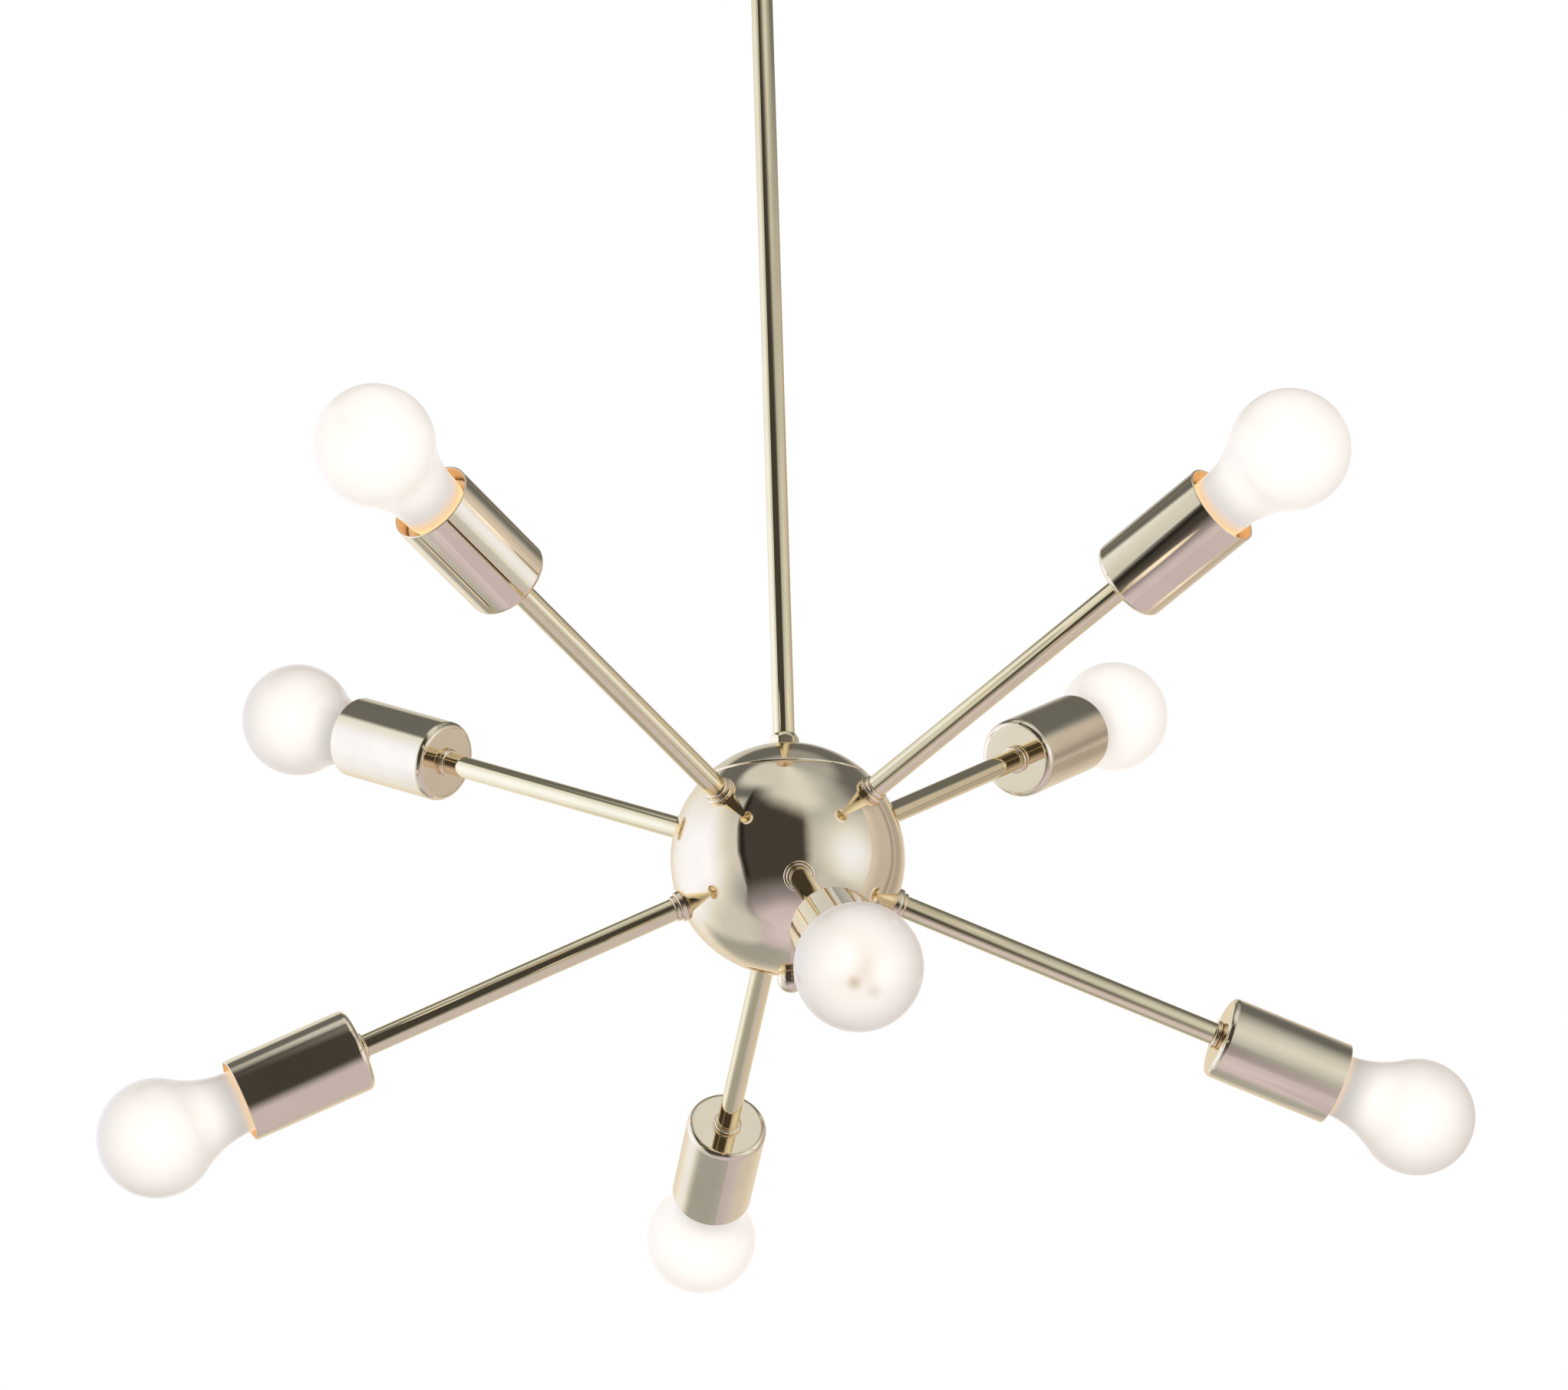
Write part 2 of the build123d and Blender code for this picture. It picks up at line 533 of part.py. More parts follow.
def centre_contact():
    """The sprung contact, riveted through the bridge."""
    top = SHELL_BOTTOM + CONTACT_HEIGHT
    return turned([(0, CHAMBER_TOP), (RIVET_RADIUS, CHAMBER_TOP), (RIVET_RADIUS, SHELL_BOTTOM),
                   (CONTACT_FOOT, SHELL_BOTTOM), (CONTACT_FOOT, SHELL_BOTTOM + 1),
                   (CONTACT_TOP, top), (0, top)])


def arm_leads():
    """The two insulated leads from the junction block to the lampholder's bridge."""
    lead = rod(LEAD_RADIUS, LEAD_START, CHAMBER_TOP)
    return [Pos(side * LEAD_SPREAD, 0, 0) * lead for side in (-1, 1)]


# ---------------------------------------------------------------- lamp pieces, +Z outwards
def glass_profile(shrink, bottom):
    """Half the bulb's outline, drawn in by the wall where shrink is not nought."""
    head = BULB_RADIUS - shrink
    fall = (BULB_LENGTH - BULB_RADIUS - CAP_LENGTH) * NECK_SHARE
    spread = NECK_WAIST ** 2 + fall ** 2 - BULB_RADIUS ** 2
    flare = spread / (2 * (BULB_RADIUS - NECK_WAIST)) + shrink
    waist = NECK_WAIST - shrink
    centre = BULB_LENGTH - BULB_RADIUS
    drop = sqrt((head + flare) ** 2 - (waist + flare) ** 2)
    share = head / (head + flare)
    tangent = ((waist + flare) * share, centre - drop * share)
    top = (0, centre + head)
    side = (head, centre)
    waist_point = (waist, centre - drop)
    middle = ((tangent[0] - waist - flare) + (waist_point[0] - waist - flare), tangent[1] - centre + drop)
    length = sqrt(middle[0] ** 2 + middle[1] ** 2)
    flare_point = (waist + flare + middle[0] / length * flare, centre - drop + middle[1] / length * flare)
    end_radius = NECK_END - shrink
    crown = ThreePointArc(top, side, tangent)
    neck = ThreePointArc(tangent, flare_point, waist_point)
    root = TangentArc(waist_point, (end_radius, CAP_LENGTH), tangent=(0, -1))
    return crown, neck, root, end_radius, bottom


def glass_solid(shrink, bottom):
    """The solid inside the bulb's outline, carried straight down to bottom."""
    crown, neck, root, end_radius, bottom = glass_profile(shrink, bottom)
    lines = [crown, neck, root]
    if bottom < CAP_LENGTH:
        lines.append(Line((end_radius, CAP_LENGTH), (end_radius, bottom)))
    lines.append(Line((end_radius, bottom), (0, bottom)))
    lines.append(Line((0, bottom), (0, BULB_LENGTH - shrink)))
    return revolve(make_face(Plane.XZ * Curve(lines)), Axis.Z)


def bulb_glass():
    """The frosted glass, hollow, open at the cap."""
    return glass_solid(0, CAP_LENGTH) - glass_solid(GLASS_WALL, CAP_LENGTH - 1)


def screw_cap():
    """The lamp's metal cap, with its rolled thread drawn as rings."""
    low = BUTTON_HEIGHT + INSULATOR_HEIGHT
    thread_top = CAP_LENGTH - CAP_SKIRT
    pitch = (thread_top - low - CAP_WALL) / CAP_TURNS
    lines = [Line((0, low), (CAP_ROOT, low)), Line((CAP_ROOT, low), (CAP_ROOT, low + CAP_WALL))]
    for i in range(CAP_TURNS):
        start = low + CAP_WALL + i * pitch
        lines.append(ThreePointArc((CAP_ROOT, start), (CAP_CREST, start + pitch / 2), (CAP_ROOT, start + pitch)))
    lines.append(Line((CAP_ROOT, thread_top), (CAP_CREST, thread_top)))
    lines.append(Line((CAP_CREST, thread_top), (CAP_CREST, CAP_LENGTH)))
    lines.append(Line((CAP_CREST, CAP_LENGTH), (0, CAP_LENGTH)))
    lines.append(Line((0, CAP_LENGTH), (0, low)))
    solid = revolve(make_face(Plane.XZ * Curve(lines)), Axis.Z)
    solid -= rod(CAP_ROOT - CAP_WALL, low + CAP_WALL, CAP_LENGTH + 1)
    return solid - rod(CAP_ROOT - CAP_WALL * 3, low - 1, low + CAP_WALL * 2)


def cap_insulator():
    """The dark glass cone between the cap and its contact."""
    low = BUTTON_HEIGHT + INSULATOR_HEIGHT
    opening = CAP_ROOT - CAP_WALL * 3 - THREAD_GAP
    inside = CAP_ROOT - CAP_WALL - THREAD_GAP
    return turned([(0, BUTTON_HEIGHT), (BUTTON_RADIUS, BUTTON_HEIGHT), (opening, low), (opening, low + CAP_WALL),
                   (inside, low + CAP_WALL), (inside, low + CAP_WALL + INSULATOR_LIP),
                   (0, low + CAP_WALL + INSULATOR_LIP)])


def contact_button():
    """The lamp's end contact."""
    button = rod(BUTTON_RADIUS, 0, BUTTON_HEIGHT)
    return fillet(button.edges().group_by(Axis.Z)[0], BUTTON_HEIGHT * 0.6)


def filament_mount():
    """The glass mount inside the bulb, with two posts and the filament across them."""
    foot = BUTTON_HEIGHT + INSULATOR_HEIGHT + CAP_WALL + INSULATOR_LIP
    post_top = BULB_LENGTH - BULB_RADIUS - FILAMENT_DROP
    mount_top = post_top - POST_HEIGHT
    pinch_width = (POST_SPREAD + PINCH_MARGIN) * 2
    mount = rod(MOUNT_RADIUS * 2, foot, foot + PINCH_HEIGHT) + rod(MOUNT_RADIUS, foot, mount_top)
    mount += Pos(0, 0, mount_top - PINCH_HEIGHT / 2) * Box(pinch_width, MOUNT_RADIUS, PINCH_HEIGHT)
    for side in (-1, 1):
        mount += Pos(side * POST_SPREAD, 0, 0) * rod(POST_RADIUS, mount_top - PINCH_HEIGHT / 2, post_top)
        mount += Pos(side * POST_SPREAD, 0, post_top) * Sphere(FILAMENT_RADIUS)
    bar = Pos(0, 0, post_top) * Rot(0, 90, 0) * Cylinder(FILAMENT_RADIUS * 0.6, POST_SPREAD * 2)
    return mount + bar


# ---------------------------------------------------------------- cables on the main axis
def cable(bottom, top):
    """A round cable."""
    return rod(CABLE_RADIUS, bottom, top)


def swivel_cable():
    """The cable from the strap down to the knuckle's centre, its end rounded."""
    end = PIVOT_Z + FREE_GAP + CABLE_RADIUS
    return cable(end, -TOP_SETBACK) + Pos(0, 0, end) * Sphere(CABLE_RADIUS)


def stem_cable():
    """The cable from the knuckle's centre to the junction block, with its two stripped cores."""
    end = PIVOT_Z - FREE_GAP - CABLE_RADIUS
    cores = Rot(0, 90, 0) * Cylinder(LEAD_RADIUS, (PIPE_RADIUS + TERMINAL_DEPTH) * 2)
    run = cable(BALL_Z - LEAD_RADIUS, end) + Pos(0, 0, end) * Sphere(CABLE_RADIUS)
    return run + at_ball(cores)


# ---------------------------------------------------------------- writing the sub-parts
aims = arm_aims()

save("mounting_strap", mounting_strap())
save("canopy", canopy())
save("canopy_screws", *canopy_screws())
save("canopy_cap_nuts", *canopy_cap_nuts())
save("hanger_nipple", hanger_nipple())
save("hanger_nuts", *hanger_nuts())
save("swivel_housing", swivel_housing())
save("swivel_cable", swivel_cable())
save("swivel_fork", swivel_fork())
save("swivel_knuckle", swivel_knuckle())
save("knuckle_screws", *knuckle_screws())
save("upper_stem", stem_tube(STEM_JOINT, STEM_TOP))
save("stem_coupler", stem_coupler())
save("lower_stem", stem_tube(STEM_BOTTOM, STEM_JOINT))
save("stem_nut", at_ball(stem_nut()))
save("ball_cap", at_ball(ball_cap()))
save("ball_shell", ball_shell(aims))
save("tie_rod", at_ball(tie_rod()))
save("finial", at_ball(finial()))
save("junction_block", junction_block(aims))
save("lock_nuts", *lock_nuts(aims))
save("arm_collars", *[aimed(arm_collar(), *aim) for aim in aims])
save("arm_nipples", *[aimed(piece, *aim) for aim in aims for piece in arm_nipples()])
save("cup_rings", *[aimed(cup_ring(), *aim) for aim in aims])
save("lampholders", *[aimed(lampholder(), *aim) for aim in aims])
save("screw_shells", *[aimed(screw_shell(), *aim) for aim in aims])
save("centre_contacts", *[aimed(centre_contact(), *aim) for aim in aims])
save("inner_leads", stem_cable(), *[aimed(lead, *aim) for aim in aims for lead in arm_leads()])

for number, aim in enumerate(aims, start=1):
    lamp = Pos(0, 0, LAMP_SEAT)
    base = [screw_cap(), cap_insulator(), contact_button(), filament_mount()]
    save(f"arm_{number}", aimed(arm_tube(), *aim))
    save(f"cup_{number}", aimed(cup(), *aim))
    save(f"bulb_glass_{number}", aimed(lamp * bulb_glass(), *aim))
    save(f"bulb_base_{number}", *[aimed(lamp * piece, *aim) for piece in base])

print("ball centre at z", round(BALL_Z, 2), "pivot at z", round(PIVOT_Z, 2))
print("lamp seat", round(LAMP_SEAT, 2), "bulb centre", round(LAMP_SEAT + BULB_LENGTH - BULB_RADIUS, 2))
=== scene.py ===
"""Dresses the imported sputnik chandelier: polished brass, frosted lamps and the studio round them."""
import json
import math

import bpy
from bpy.props import FloatProperty, FloatVectorProperty, PointerProperty
from mathutils import Matrix, Vector


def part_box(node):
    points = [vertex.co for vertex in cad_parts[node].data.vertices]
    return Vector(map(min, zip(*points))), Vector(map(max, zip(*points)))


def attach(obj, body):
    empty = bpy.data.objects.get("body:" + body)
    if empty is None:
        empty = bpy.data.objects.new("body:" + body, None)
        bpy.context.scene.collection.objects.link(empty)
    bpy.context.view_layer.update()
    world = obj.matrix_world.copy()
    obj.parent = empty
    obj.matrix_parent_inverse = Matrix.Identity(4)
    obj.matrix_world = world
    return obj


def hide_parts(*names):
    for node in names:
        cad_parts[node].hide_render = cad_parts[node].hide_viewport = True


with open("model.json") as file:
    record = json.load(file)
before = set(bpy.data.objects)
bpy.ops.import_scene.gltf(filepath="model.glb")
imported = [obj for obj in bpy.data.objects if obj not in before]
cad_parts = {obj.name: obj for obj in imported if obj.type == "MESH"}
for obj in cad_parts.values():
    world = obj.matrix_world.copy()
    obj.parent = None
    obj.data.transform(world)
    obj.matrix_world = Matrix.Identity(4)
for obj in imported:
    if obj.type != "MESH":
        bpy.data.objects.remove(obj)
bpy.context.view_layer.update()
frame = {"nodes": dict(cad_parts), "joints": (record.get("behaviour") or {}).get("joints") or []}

bl_info = {
    "name": "Sputnik chandelier",
    "version": (1, 0, 0),
    "blender": (4, 5, 0),
    "location": "3D View > Sidebar > Chandelier",
    "description": "Builds the chandelier's brass, lamps, ceiling pieces and studio",
    "category": "Object",
}

LAMPS = range(1, 9)
LAMP_SHARES = (1.0, 1.0, 1.0, 0.64, 0.66, 0.58, 0.62, 1.0)  # how much light each lamp's rim and neck give
WIRE_HOLE = 0.0049  # radius of the bore in the ball, tubes, collars, canopy and finial
NOUGHT = 1e-7  # a length that counts as nothing
PICTURE_WIDTH, PICTURE_HEIGHT = 2044, 1812  # the photograph's frame, in pixels
BALL_PIXEL_X, BALL_PIXEL_Y = 1026.9, 1119.8  # where the ball's centre lies in it
SENSOR_WIDTH = 36.0  # the camera's sensor, in millimetres
SMALL_FINISHES = (
    # the CAD's slot, then the finish's name, colour, deeper colour, roughness, mottling and metal
    ("plated_steel", "zinc_plate", (0.62, 0.63, 0.64), (0.50, 0.50, 0.48), 0.32, 60.0, 1.0),
    ("contact_brass", "contact_metal", (0.86, 0.66, 0.38), (0.70, 0.50, 0.26), 0.28, 120.0, 1.0),
    ("block_plastic", "moulded_cream", (0.82, 0.80, 0.74), (0.76, 0.73, 0.66), 0.42, 70.0, 0.0),
    ("lead_insulation", "lead_sheath", (0.040, 0.039, 0.038), (0.060, 0.058, 0.056), 0.45, 120.0, 0.0),
    ("lamp_base", "lamp_cap_nickel", (0.78, 0.76, 0.72), (0.64, 0.61, 0.56), 0.24, 110.0, 1.0),
)


# ---------------------------------------------------------------- places
def arm_axis(number):
    """The direction in which an arm points, which is the way its lamp comes out."""
    joint = next(j for j in frame["joints"] if j["name"] == f"bulb_{number}_out")
    return Vector(joint["axis"]).normalized()


def arm_place(number, radius):
    """The arm's own frame: origin at the ball's centre, +Z along the arm, X level."""
    along = arm_axis(number)
    side = Vector((-along.y, along.x, 0)).normalized()
    across = along.cross(side)
    turn = Matrix((side, across, along)).transposed()
    return Matrix.Translation(ball_centre(radius)) @ turn.to_4x4()


def ball_centre(radius):
    """The ball's centre, under the hexagonal collar that stands on it."""
    return Vector((0, 0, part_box("ball_cap")[1].z)) - Vector((0, 0, 1)) * seat_height(radius)


def seat_height(radius):
    """How high above the ball's centre the hexagonal collar's corners meet the ball."""
    low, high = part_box("stem_nut")
    return girth(max(high.x - low.x, high.y - low.y) / 2, radius)


def girth(height, radius):
    """How far from its axis a ball of that radius lies at a height, or how high at a distance."""
    return math.sqrt(radius ** 2 - height ** 2)


def slope(height, radius):
    """The climb, in degrees, at which a ball of that radius reaches a height."""
    return math.degrees(math.asin(height / radius))


# ---------------------------------------------------------------- turned outlines
def arc(r, z, radius, start, end, steps, side=1):
    """Points round an arc, in degrees, each as (radius, height, outward normal)."""
    found = []
    for i in range(steps + 1):
        a = math.radians(start + (end - start) * i / steps)
        found.append((max(r + radius * math.cos(a), 0.0), z + radius * math.sin(a),
                      side * math.cos(a), side * math.sin(a)))
    return found


def straight(a, b):
    """A straight stretch, with the material on its left."""
    dr, dz = b[0] - a[0], b[1] - a[1]
    length = math.hypot(dr, dz)
    normal = (dz / length, -dr / length)
    return [(*a, *normal), (*b, *normal)]


def rounded(corners, steps=5):
    """A closed outline of straight stretches, with its (radius, height, rounding) corners turned over."""
    ends = []
    for i, (r, z, rounding) in enumerate(corners):
        if not rounding:
            ends.append(((r, z), (r, z), None))
            continue
        before, after = corners[i - 1], corners[(i + 1) % len(corners)]
        back = Vector((before[0] - r, before[1] - z)).normalized()
        ahead = Vector((after[0] - r, after[1] - z)).normalized()
        half = back.angle(ahead) / 2
        reach = rounding / math.tan(half)
        middle = Vector((r, z)) + (back + ahead).normalized() * rounding / math.sin(half)
        start, end = Vector((r, z)) + back * reach, Vector((r, z)) + ahead * reach
        first = math.degrees(math.atan2(start.y - middle.y, start.x - middle.x))
        last = math.degrees(math.atan2(end.y - middle.y, end.x - middle.x))
        sweep = (last - first + 180) % 360 - 180
        side = 1 if sweep > 0 else -1
        bend = arc(middle.x, middle.y, rounding, first, first + sweep, steps, side)
        ends.append((tuple(start), tuple(end), bend))
    stretches = []
    for (_, end, bend), (following, _, _) in zip(ends, ends[1:] + ends[:1]):
        if bend:
            stretches.append(bend)
        if math.dist(end, following) > NOUGHT:
            stretches.append(straight(end, following))
    return stretches


def turned(name, stretches, places, finish, sides=64):
    """A mesh of the outline turned about +Z in each place, with true normals and a UV of turn and height."""
    heights = [p[1] for s in stretches for p in s]
    low, span = min(heights), max(heights) - min(heights)
    points, faces, normals, uvs = [], [], [], []
    angles = [(math.cos(math.tau * j / sides), math.sin(math.tau * j / sides)) for j in range(sides)]
    for place in places:
        turn, rings = place.to_3x3(), {}

        def ring(r, z):
            key = (round(r, 8), round(z, 8))
            if key not in rings:
                start = len(points)
                spots = [(0, 0)] if r < NOUGHT else angles
                points.extend(place @ Vector((r * c, r * s, z)) for c, s in spots)
                rings[key] = (start, len(spots))
            return rings[key]

        for stretch in stretches:
            swung = [[turn @ Vector((n[2] * c, n[2] * s, n[3])) for c, s in angles] for n in stretch]
            for k in range(len(stretch) - 1):
                a, b = ring(*stretch[k][:2]), ring(*stretch[k + 1][:2])
                va, vb = (stretch[k][1] - low) / span, (stretch[k + 1][1] - low) / span
                for j in range(sides):
                    n = (j + 1) % sides
                    u, w = j / sides, (j + 1) / sides
                    corners = [(a[0] + (j if a[1] > 1 else 0), swung[k][j], (u, va)),
                               (a[0] + (n if a[1] > 1 else 0), swung[k][n], (w, va)),
                               (b[0] + (n if b[1] > 1 else 0), swung[k + 1][n], (w, vb)),
                               (b[0] + (j if b[1] > 1 else 0), swung[k + 1][j], (u, vb))]
                    if a[1] == 1:
                        corners.pop(1)
                    if b[1] == 1:
                        corners.pop(-1)
                    faces.append([c[0] for c in corners])
                    normals.extend(c[1] for c in corners)
                    uvs.extend(c[2] for c in corners)
    return finished(name, points, faces, finish, normals, uvs)


def finished(name, points, faces, finish, normals=None, uvs=None):
    """An object from points and faces, shaded smooth."""
    mesh = bpy.data.meshes.new(name)
    mesh.from_pydata(points, [], faces)
    mesh.polygons.foreach_set("use_smooth", [True] * len(mesh.polygons))
    if uvs:
        layer = mesh.uv_layers.new(name="turn_and_height")
        layer.data.foreach_set("uv", [x for uv in uvs for x in uv])
    mesh.materials.append(finish)
    mesh.update()
    if normals:
        mesh.normals_split_custom_set([tuple(n) for n in normals])
    piece = bpy.data.objects.new(name, mesh)
    bpy.context.scene.collection.objects.link(piece)
    return piece


def settle(piece, body, node):
    """Puts a piece on its body and hides the CAD node that it stands for."""
    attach(piece, body)
    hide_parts(node)


# ---------------------------------------------------------------- shader expressions
class Value:
    """A socket of a material, so that shader maths reads as an expression."""

    def __init__(self, shade, socket):
        self.shade, self.socket = shade, socket

    def maths(self, operation, first, second=0.0):
        return self.shade.node("ShaderNodeMath", {"operation": operation}, {0: first, 1: second})

    def __add__(self, other):
        return self.maths("ADD", self, other)

    def __sub__(self, other):
        return self.maths("SUBTRACT", self, other)

    def __rsub__(self, other):
        return self.maths("SUBTRACT", other, self)

    def __mul__(self, other):
        return self.maths("MULTIPLY", self, other)

    def __truediv__(self, other):
        return self.maths("DIVIDE", self, other)

    def __pow__(self, other):
        return self.maths("POWER", self, other)

    def __neg__(self):
        return self.maths("MULTIPLY", self, -1.0)

    def __abs__(self):
        return self.maths("ABSOLUTE", self)

    __radd__ = __add__
    __rmul__ = __mul__

    def clamped(self):
        return self.shade.node("ShaderNodeClamp", {}, {"Value": self})

    def between(self, low, high):
        """Nought at low, one at high, and smooth in between."""
        return self.shade.node("ShaderNodeMapRange", {"interpolation_type": "SMOOTHSTEP"},
                               {"Value": self, "From Min": low, "From Max": high})

    def near(self, middle, reach):
        """One at the middle, and nought from that reach on."""
        return abs(self - middle).between(reach, 0.0)

    def turned_to(self, other, share):
        """This value, moved to another by a share."""
        return self + (other - self) * share

    def falling(self):
        """One where the value is nought, and less and less as it grows."""
        return self.maths("EXPONENT", -self)


class Shade:
    """A node tree that is written as expressions."""

    def __init__(self, name, tree=None):
        if tree is None:
            self.material = bpy.data.materials.new(name)
            self.material.use_nodes = True
            tree = self.material.node_tree
        self.tree = tree
        self.tree.nodes.clear()

    def node(self, kind, settings=None, sockets=None, out=0):
        """Adds a node, sets it up, feeds its sockets and gives one of its outputs."""
        made = self.tree.nodes.new(kind)
        for key, value in (settings or {}).items():
            setattr(made, key, value)
        for key, value in (sockets or {}).items():
            socket = made.inputs[key]
            if isinstance(value, Value):
                self.tree.links.new(value.socket, socket)
            else:
                socket.default_value = (*value, 1.0) if socket.type == "RGBA" else value
        return Value(self, made.outputs[out]) if len(made.outputs) else None

    def mix(self, share, first, second):
        """A colour between two others, by the Mix node's colour sockets."""
        return self.node("ShaderNodeMix", {"data_type": "RGBA"}, {0: share, 6: first, 7: second}, out=2)

    def noise(self, scale, detail, stretch=None, roughness=0.5):
        """Soft noise from 0 to 1 in the piece's own space."""
        place = self.node("ShaderNodeTexCoord", out="Object")
        if stretch:
            place = self.node("ShaderNodeVectorMath", {"operation": "MULTIPLY"}, {0: place, 1: stretch})
        sockets = {"Vector": place, "Scale": scale, "Detail": detail, "Roughness": roughness}
        return self.node("ShaderNodeTexNoise", {}, sockets)

    def height(self):
        """The UV's height along a turned piece, from 0 to 1."""
        place = self.node("ShaderNodeTexCoord", out="UV")
        return self.node("ShaderNodeSeparateXYZ", {}, {0: place}, out=1)

    def along(self, place, way):
        """How far a place lies along a way."""
        sockets = {0: place, 1: way}
        return self.node("ShaderNodeVectorMath", {"operation": "DOT_PRODUCT"}, sockets, out="Value")

    def degrees(self, rise, run):
        """The angle of a rise over a run."""
        return self.node("ShaderNodeMath", {"operation": "ARCTAN2"}, {0: rise, 1: run}) * math.degrees(1.0)

    def bump(self, height, distance, strength=1.0):
        sockets = {"Height": height, "Distance": distance, "Strength": strength}
        return self.node("ShaderNodeBump", {}, sockets)

    def surface(self, shader):
        self.node("ShaderNodeOutputMaterial", {}, {"Surface": shader})
        return self.material


def brass(name, metal, edge_tint, polish):
    """Polished, lacquered brass: faint clouding, fine hairlines and a slight wave from spinning."""
    worn_share, wave_depth, wave_strength = 0.90, 0.00003, 0.35
    shade = Shade(name)
    cloud = shade.noise(38.0, 3.0)
    speck = shade.noise(900.0, 2.0, roughness=0.7).between(0.66, 0.80)
    hair = shade.noise(260.0, 1.0, stretch=(1.0, 1.0, 9.0))
    worn = [channel * worn_share for channel in metal]
    colour = shade.mix(cloud.between(0.35, 0.75) * 0.5 + speck * 0.25, metal, worn)
    rough = polish + cloud * 0.018 + hair * 0.012 + speck * 0.05
    bump = shade.bump(cloud + hair * 0.02, wave_depth, wave_strength)
    return shade.surface(shade.node("ShaderNodeBsdfPrincipled", {}, {
        "Base Color": colour, "Metallic": 1.0, "Roughness": rough, "Normal": bump,
        "Specular Tint": edge_tint}))


def painted(name, colour, deep, rough, scale, metallic):
    """A finish with mottled colour, uneven gloss and a fine grain."""
    grain_ratio, grain_depth, gloss_swing = 9.0, 0.00004, 0.14
    shade = Shade(name)
    cloud = shade.noise(scale, 4.0)
    grit = shade.noise(scale * grain_ratio, 3.0, roughness=0.65)
    tone = shade.mix(cloud.between(0.3, 0.7), colour, deep)
    return shade.surface(shade.node("ShaderNodeBsdfPrincipled", {}, {
        "Base Color": tone, "Metallic": metallic, "Roughness": rough + (grit - 0.5) * gloss_swing,
        "Normal": shade.bump(grit, grain_depth)}))


def frosted(finish, share):
    """Frosted glass with the lamp lit: a hot crown, a cooler rim and an orange root in the cup, partly a
    painted reflection.

    Heights are shares of the glass's own height, and spots on the crown are in shares of its width.
    """
    root_top, root_full, deep_top, deep_full = 0.175, 0.100, 0.108, 0.085
    neck_top, neck_full, crown_foot, crown_full = 0.36, 0.16, 0.62, 0.90
    dim_depth, lobe_light, post_shadow_depth = 0.46, 0.44, 0.60
    lobe_reach, post_shadow_reach = 0.21, 0.085
    grey, pale_grey = (0.27, 0.26, 0.25), (0.31, 0.30, 0.29)
    frost_depth, frost_strength = 0.00002, 0.4
    shade = Shade(f"frosted_glass_{share * 100:.0f}")
    high = shade.height()
    frost = shade.noise(1400.0, 2.0)
    cloud = shade.noise(30.0, 2.0)
    # the orange root is the lamp's warmer light with a painted reflection of the cup's lit brass inside,
    # strongest deep in the cup
    root = high.between(root_top, root_full)
    neck = high.between(neck_top, neck_full)
    facing = shade.node("ShaderNodeLayerWeight", {}, {"Blend": 0.5}, out="Facing")
    crown = shade.node("ShaderNodeUVMap", {"uv_map": "crown"})
    x, y = (shade.node("ShaderNodeSeparateXYZ", {}, {0: crown}, out=k) - 0.5 for k in (0, 1))

    def spot(middle_x, middle_y, reach):
        """A soft round spot on the crown, seen along the lamp."""
        dx, dy = x - middle_x, y - middle_y
        return ((dx * dx + dy * dy) ** 0.5).between(reach, 0.0)

    front = high.between(crown_foot, crown_full) * (1.0 - facing) ** 6.0
    dim = spot(0.0, 0.02, 0.46) * front * dim_depth
    lobes = (spot(-0.20, 0.14, lobe_reach) + spot(0.20, 0.02, lobe_reach)) * front * lobe_light
    # painted shadows: two soft dark spots where the lamp's posts shade the crown, seen along the lamp
    posts = (spot(-0.086, -0.05, post_shadow_reach) + spot(0.075, -0.12, post_shadow_reach)) * front * post_shadow_depth
    dusk = shade.mix((1.0 - dim + lobes - posts).clamped(), finish.dusk_colour, finish.glow_colour)
    deep = shade.mix(high.between(deep_top, deep_full), finish.root_glow_and_reflection, finish.deep_glow_and_reflection)
    pale = [channel * share ** 0.5 for channel in finish.neck_colour]
    slant = [channel * share ** power for channel, power in zip(finish.rim_colour, (1.0, 1.15, 1.35))]
    hot = shade.mix(root, shade.mix(neck, dusk, pale), deep)
    cool = shade.mix(root, slant, deep)
    shared = {"Base Color": shade.mix(cloud, grey, pale_grey), "Roughness": 0.17 + frost * 0.07,
              "Normal": shade.bump(frost, frost_depth, frost_strength), "Specular IOR Level": 0.45,
              "Emission Strength": finish.glow_strength}
    core = shade.node("ShaderNodeBsdfPrincipled", {}, {**shared, "Emission Color": hot})
    rim = shade.node("ShaderNodeBsdfPrincipled", {}, {**shared, "Emission Color": cool})
    slanted = (facing ** (0.40 + share * 0.45)).clamped()
    return shade.surface(shade.node("ShaderNodeMixShader", {}, {0: slanted, 1: core, 2: rim}))


# ---------------------------------------------------------------- settings
def length(name, value, text):
    return FloatProperty(name=name, description=text, default=value, min=0.0, unit="LENGTH", precision=5)


def tint(name, value, text):
    return FloatVectorProperty(name=name, description=text, default=value, min=0.0, max=4.0,
                               subtype="COLOR")


def number(name, value, text, **limits):
    return FloatProperty(name=name, description=text, default=value, **{"min": 0.0, **limits})


def angle(name, degrees, text):
    return FloatProperty(name=name, description=text, default=math.radians(degrees), subtype="ANGLE")


class BallSizes(bpy.types.PropertyGroup):
    radius: length("Radius", 0.060, "Outer radius of the ball")
    wall: length("Wall", 0.0015, "Thickness of the ball's sheet")
    seam: length("Seam height", 0.040, "Height of the cap's edge above the ball's centre")
    gap: length("Seam gap", 0.0003, "Gap between the cap and the lower part")
    edge: length("Seam edge", 0.0006, "Rounding of the lower part's edge at the seam")
    cap_edge: length("Cap edge", 0.0010, "Rounding of the cap's edge at the seam")
    finial: length("Finial radius", 0.0073, "Radius of the ball nut under the ball")
    finial_drop: length("Finial drop", 0.0032, "The finial's centre below its seat")


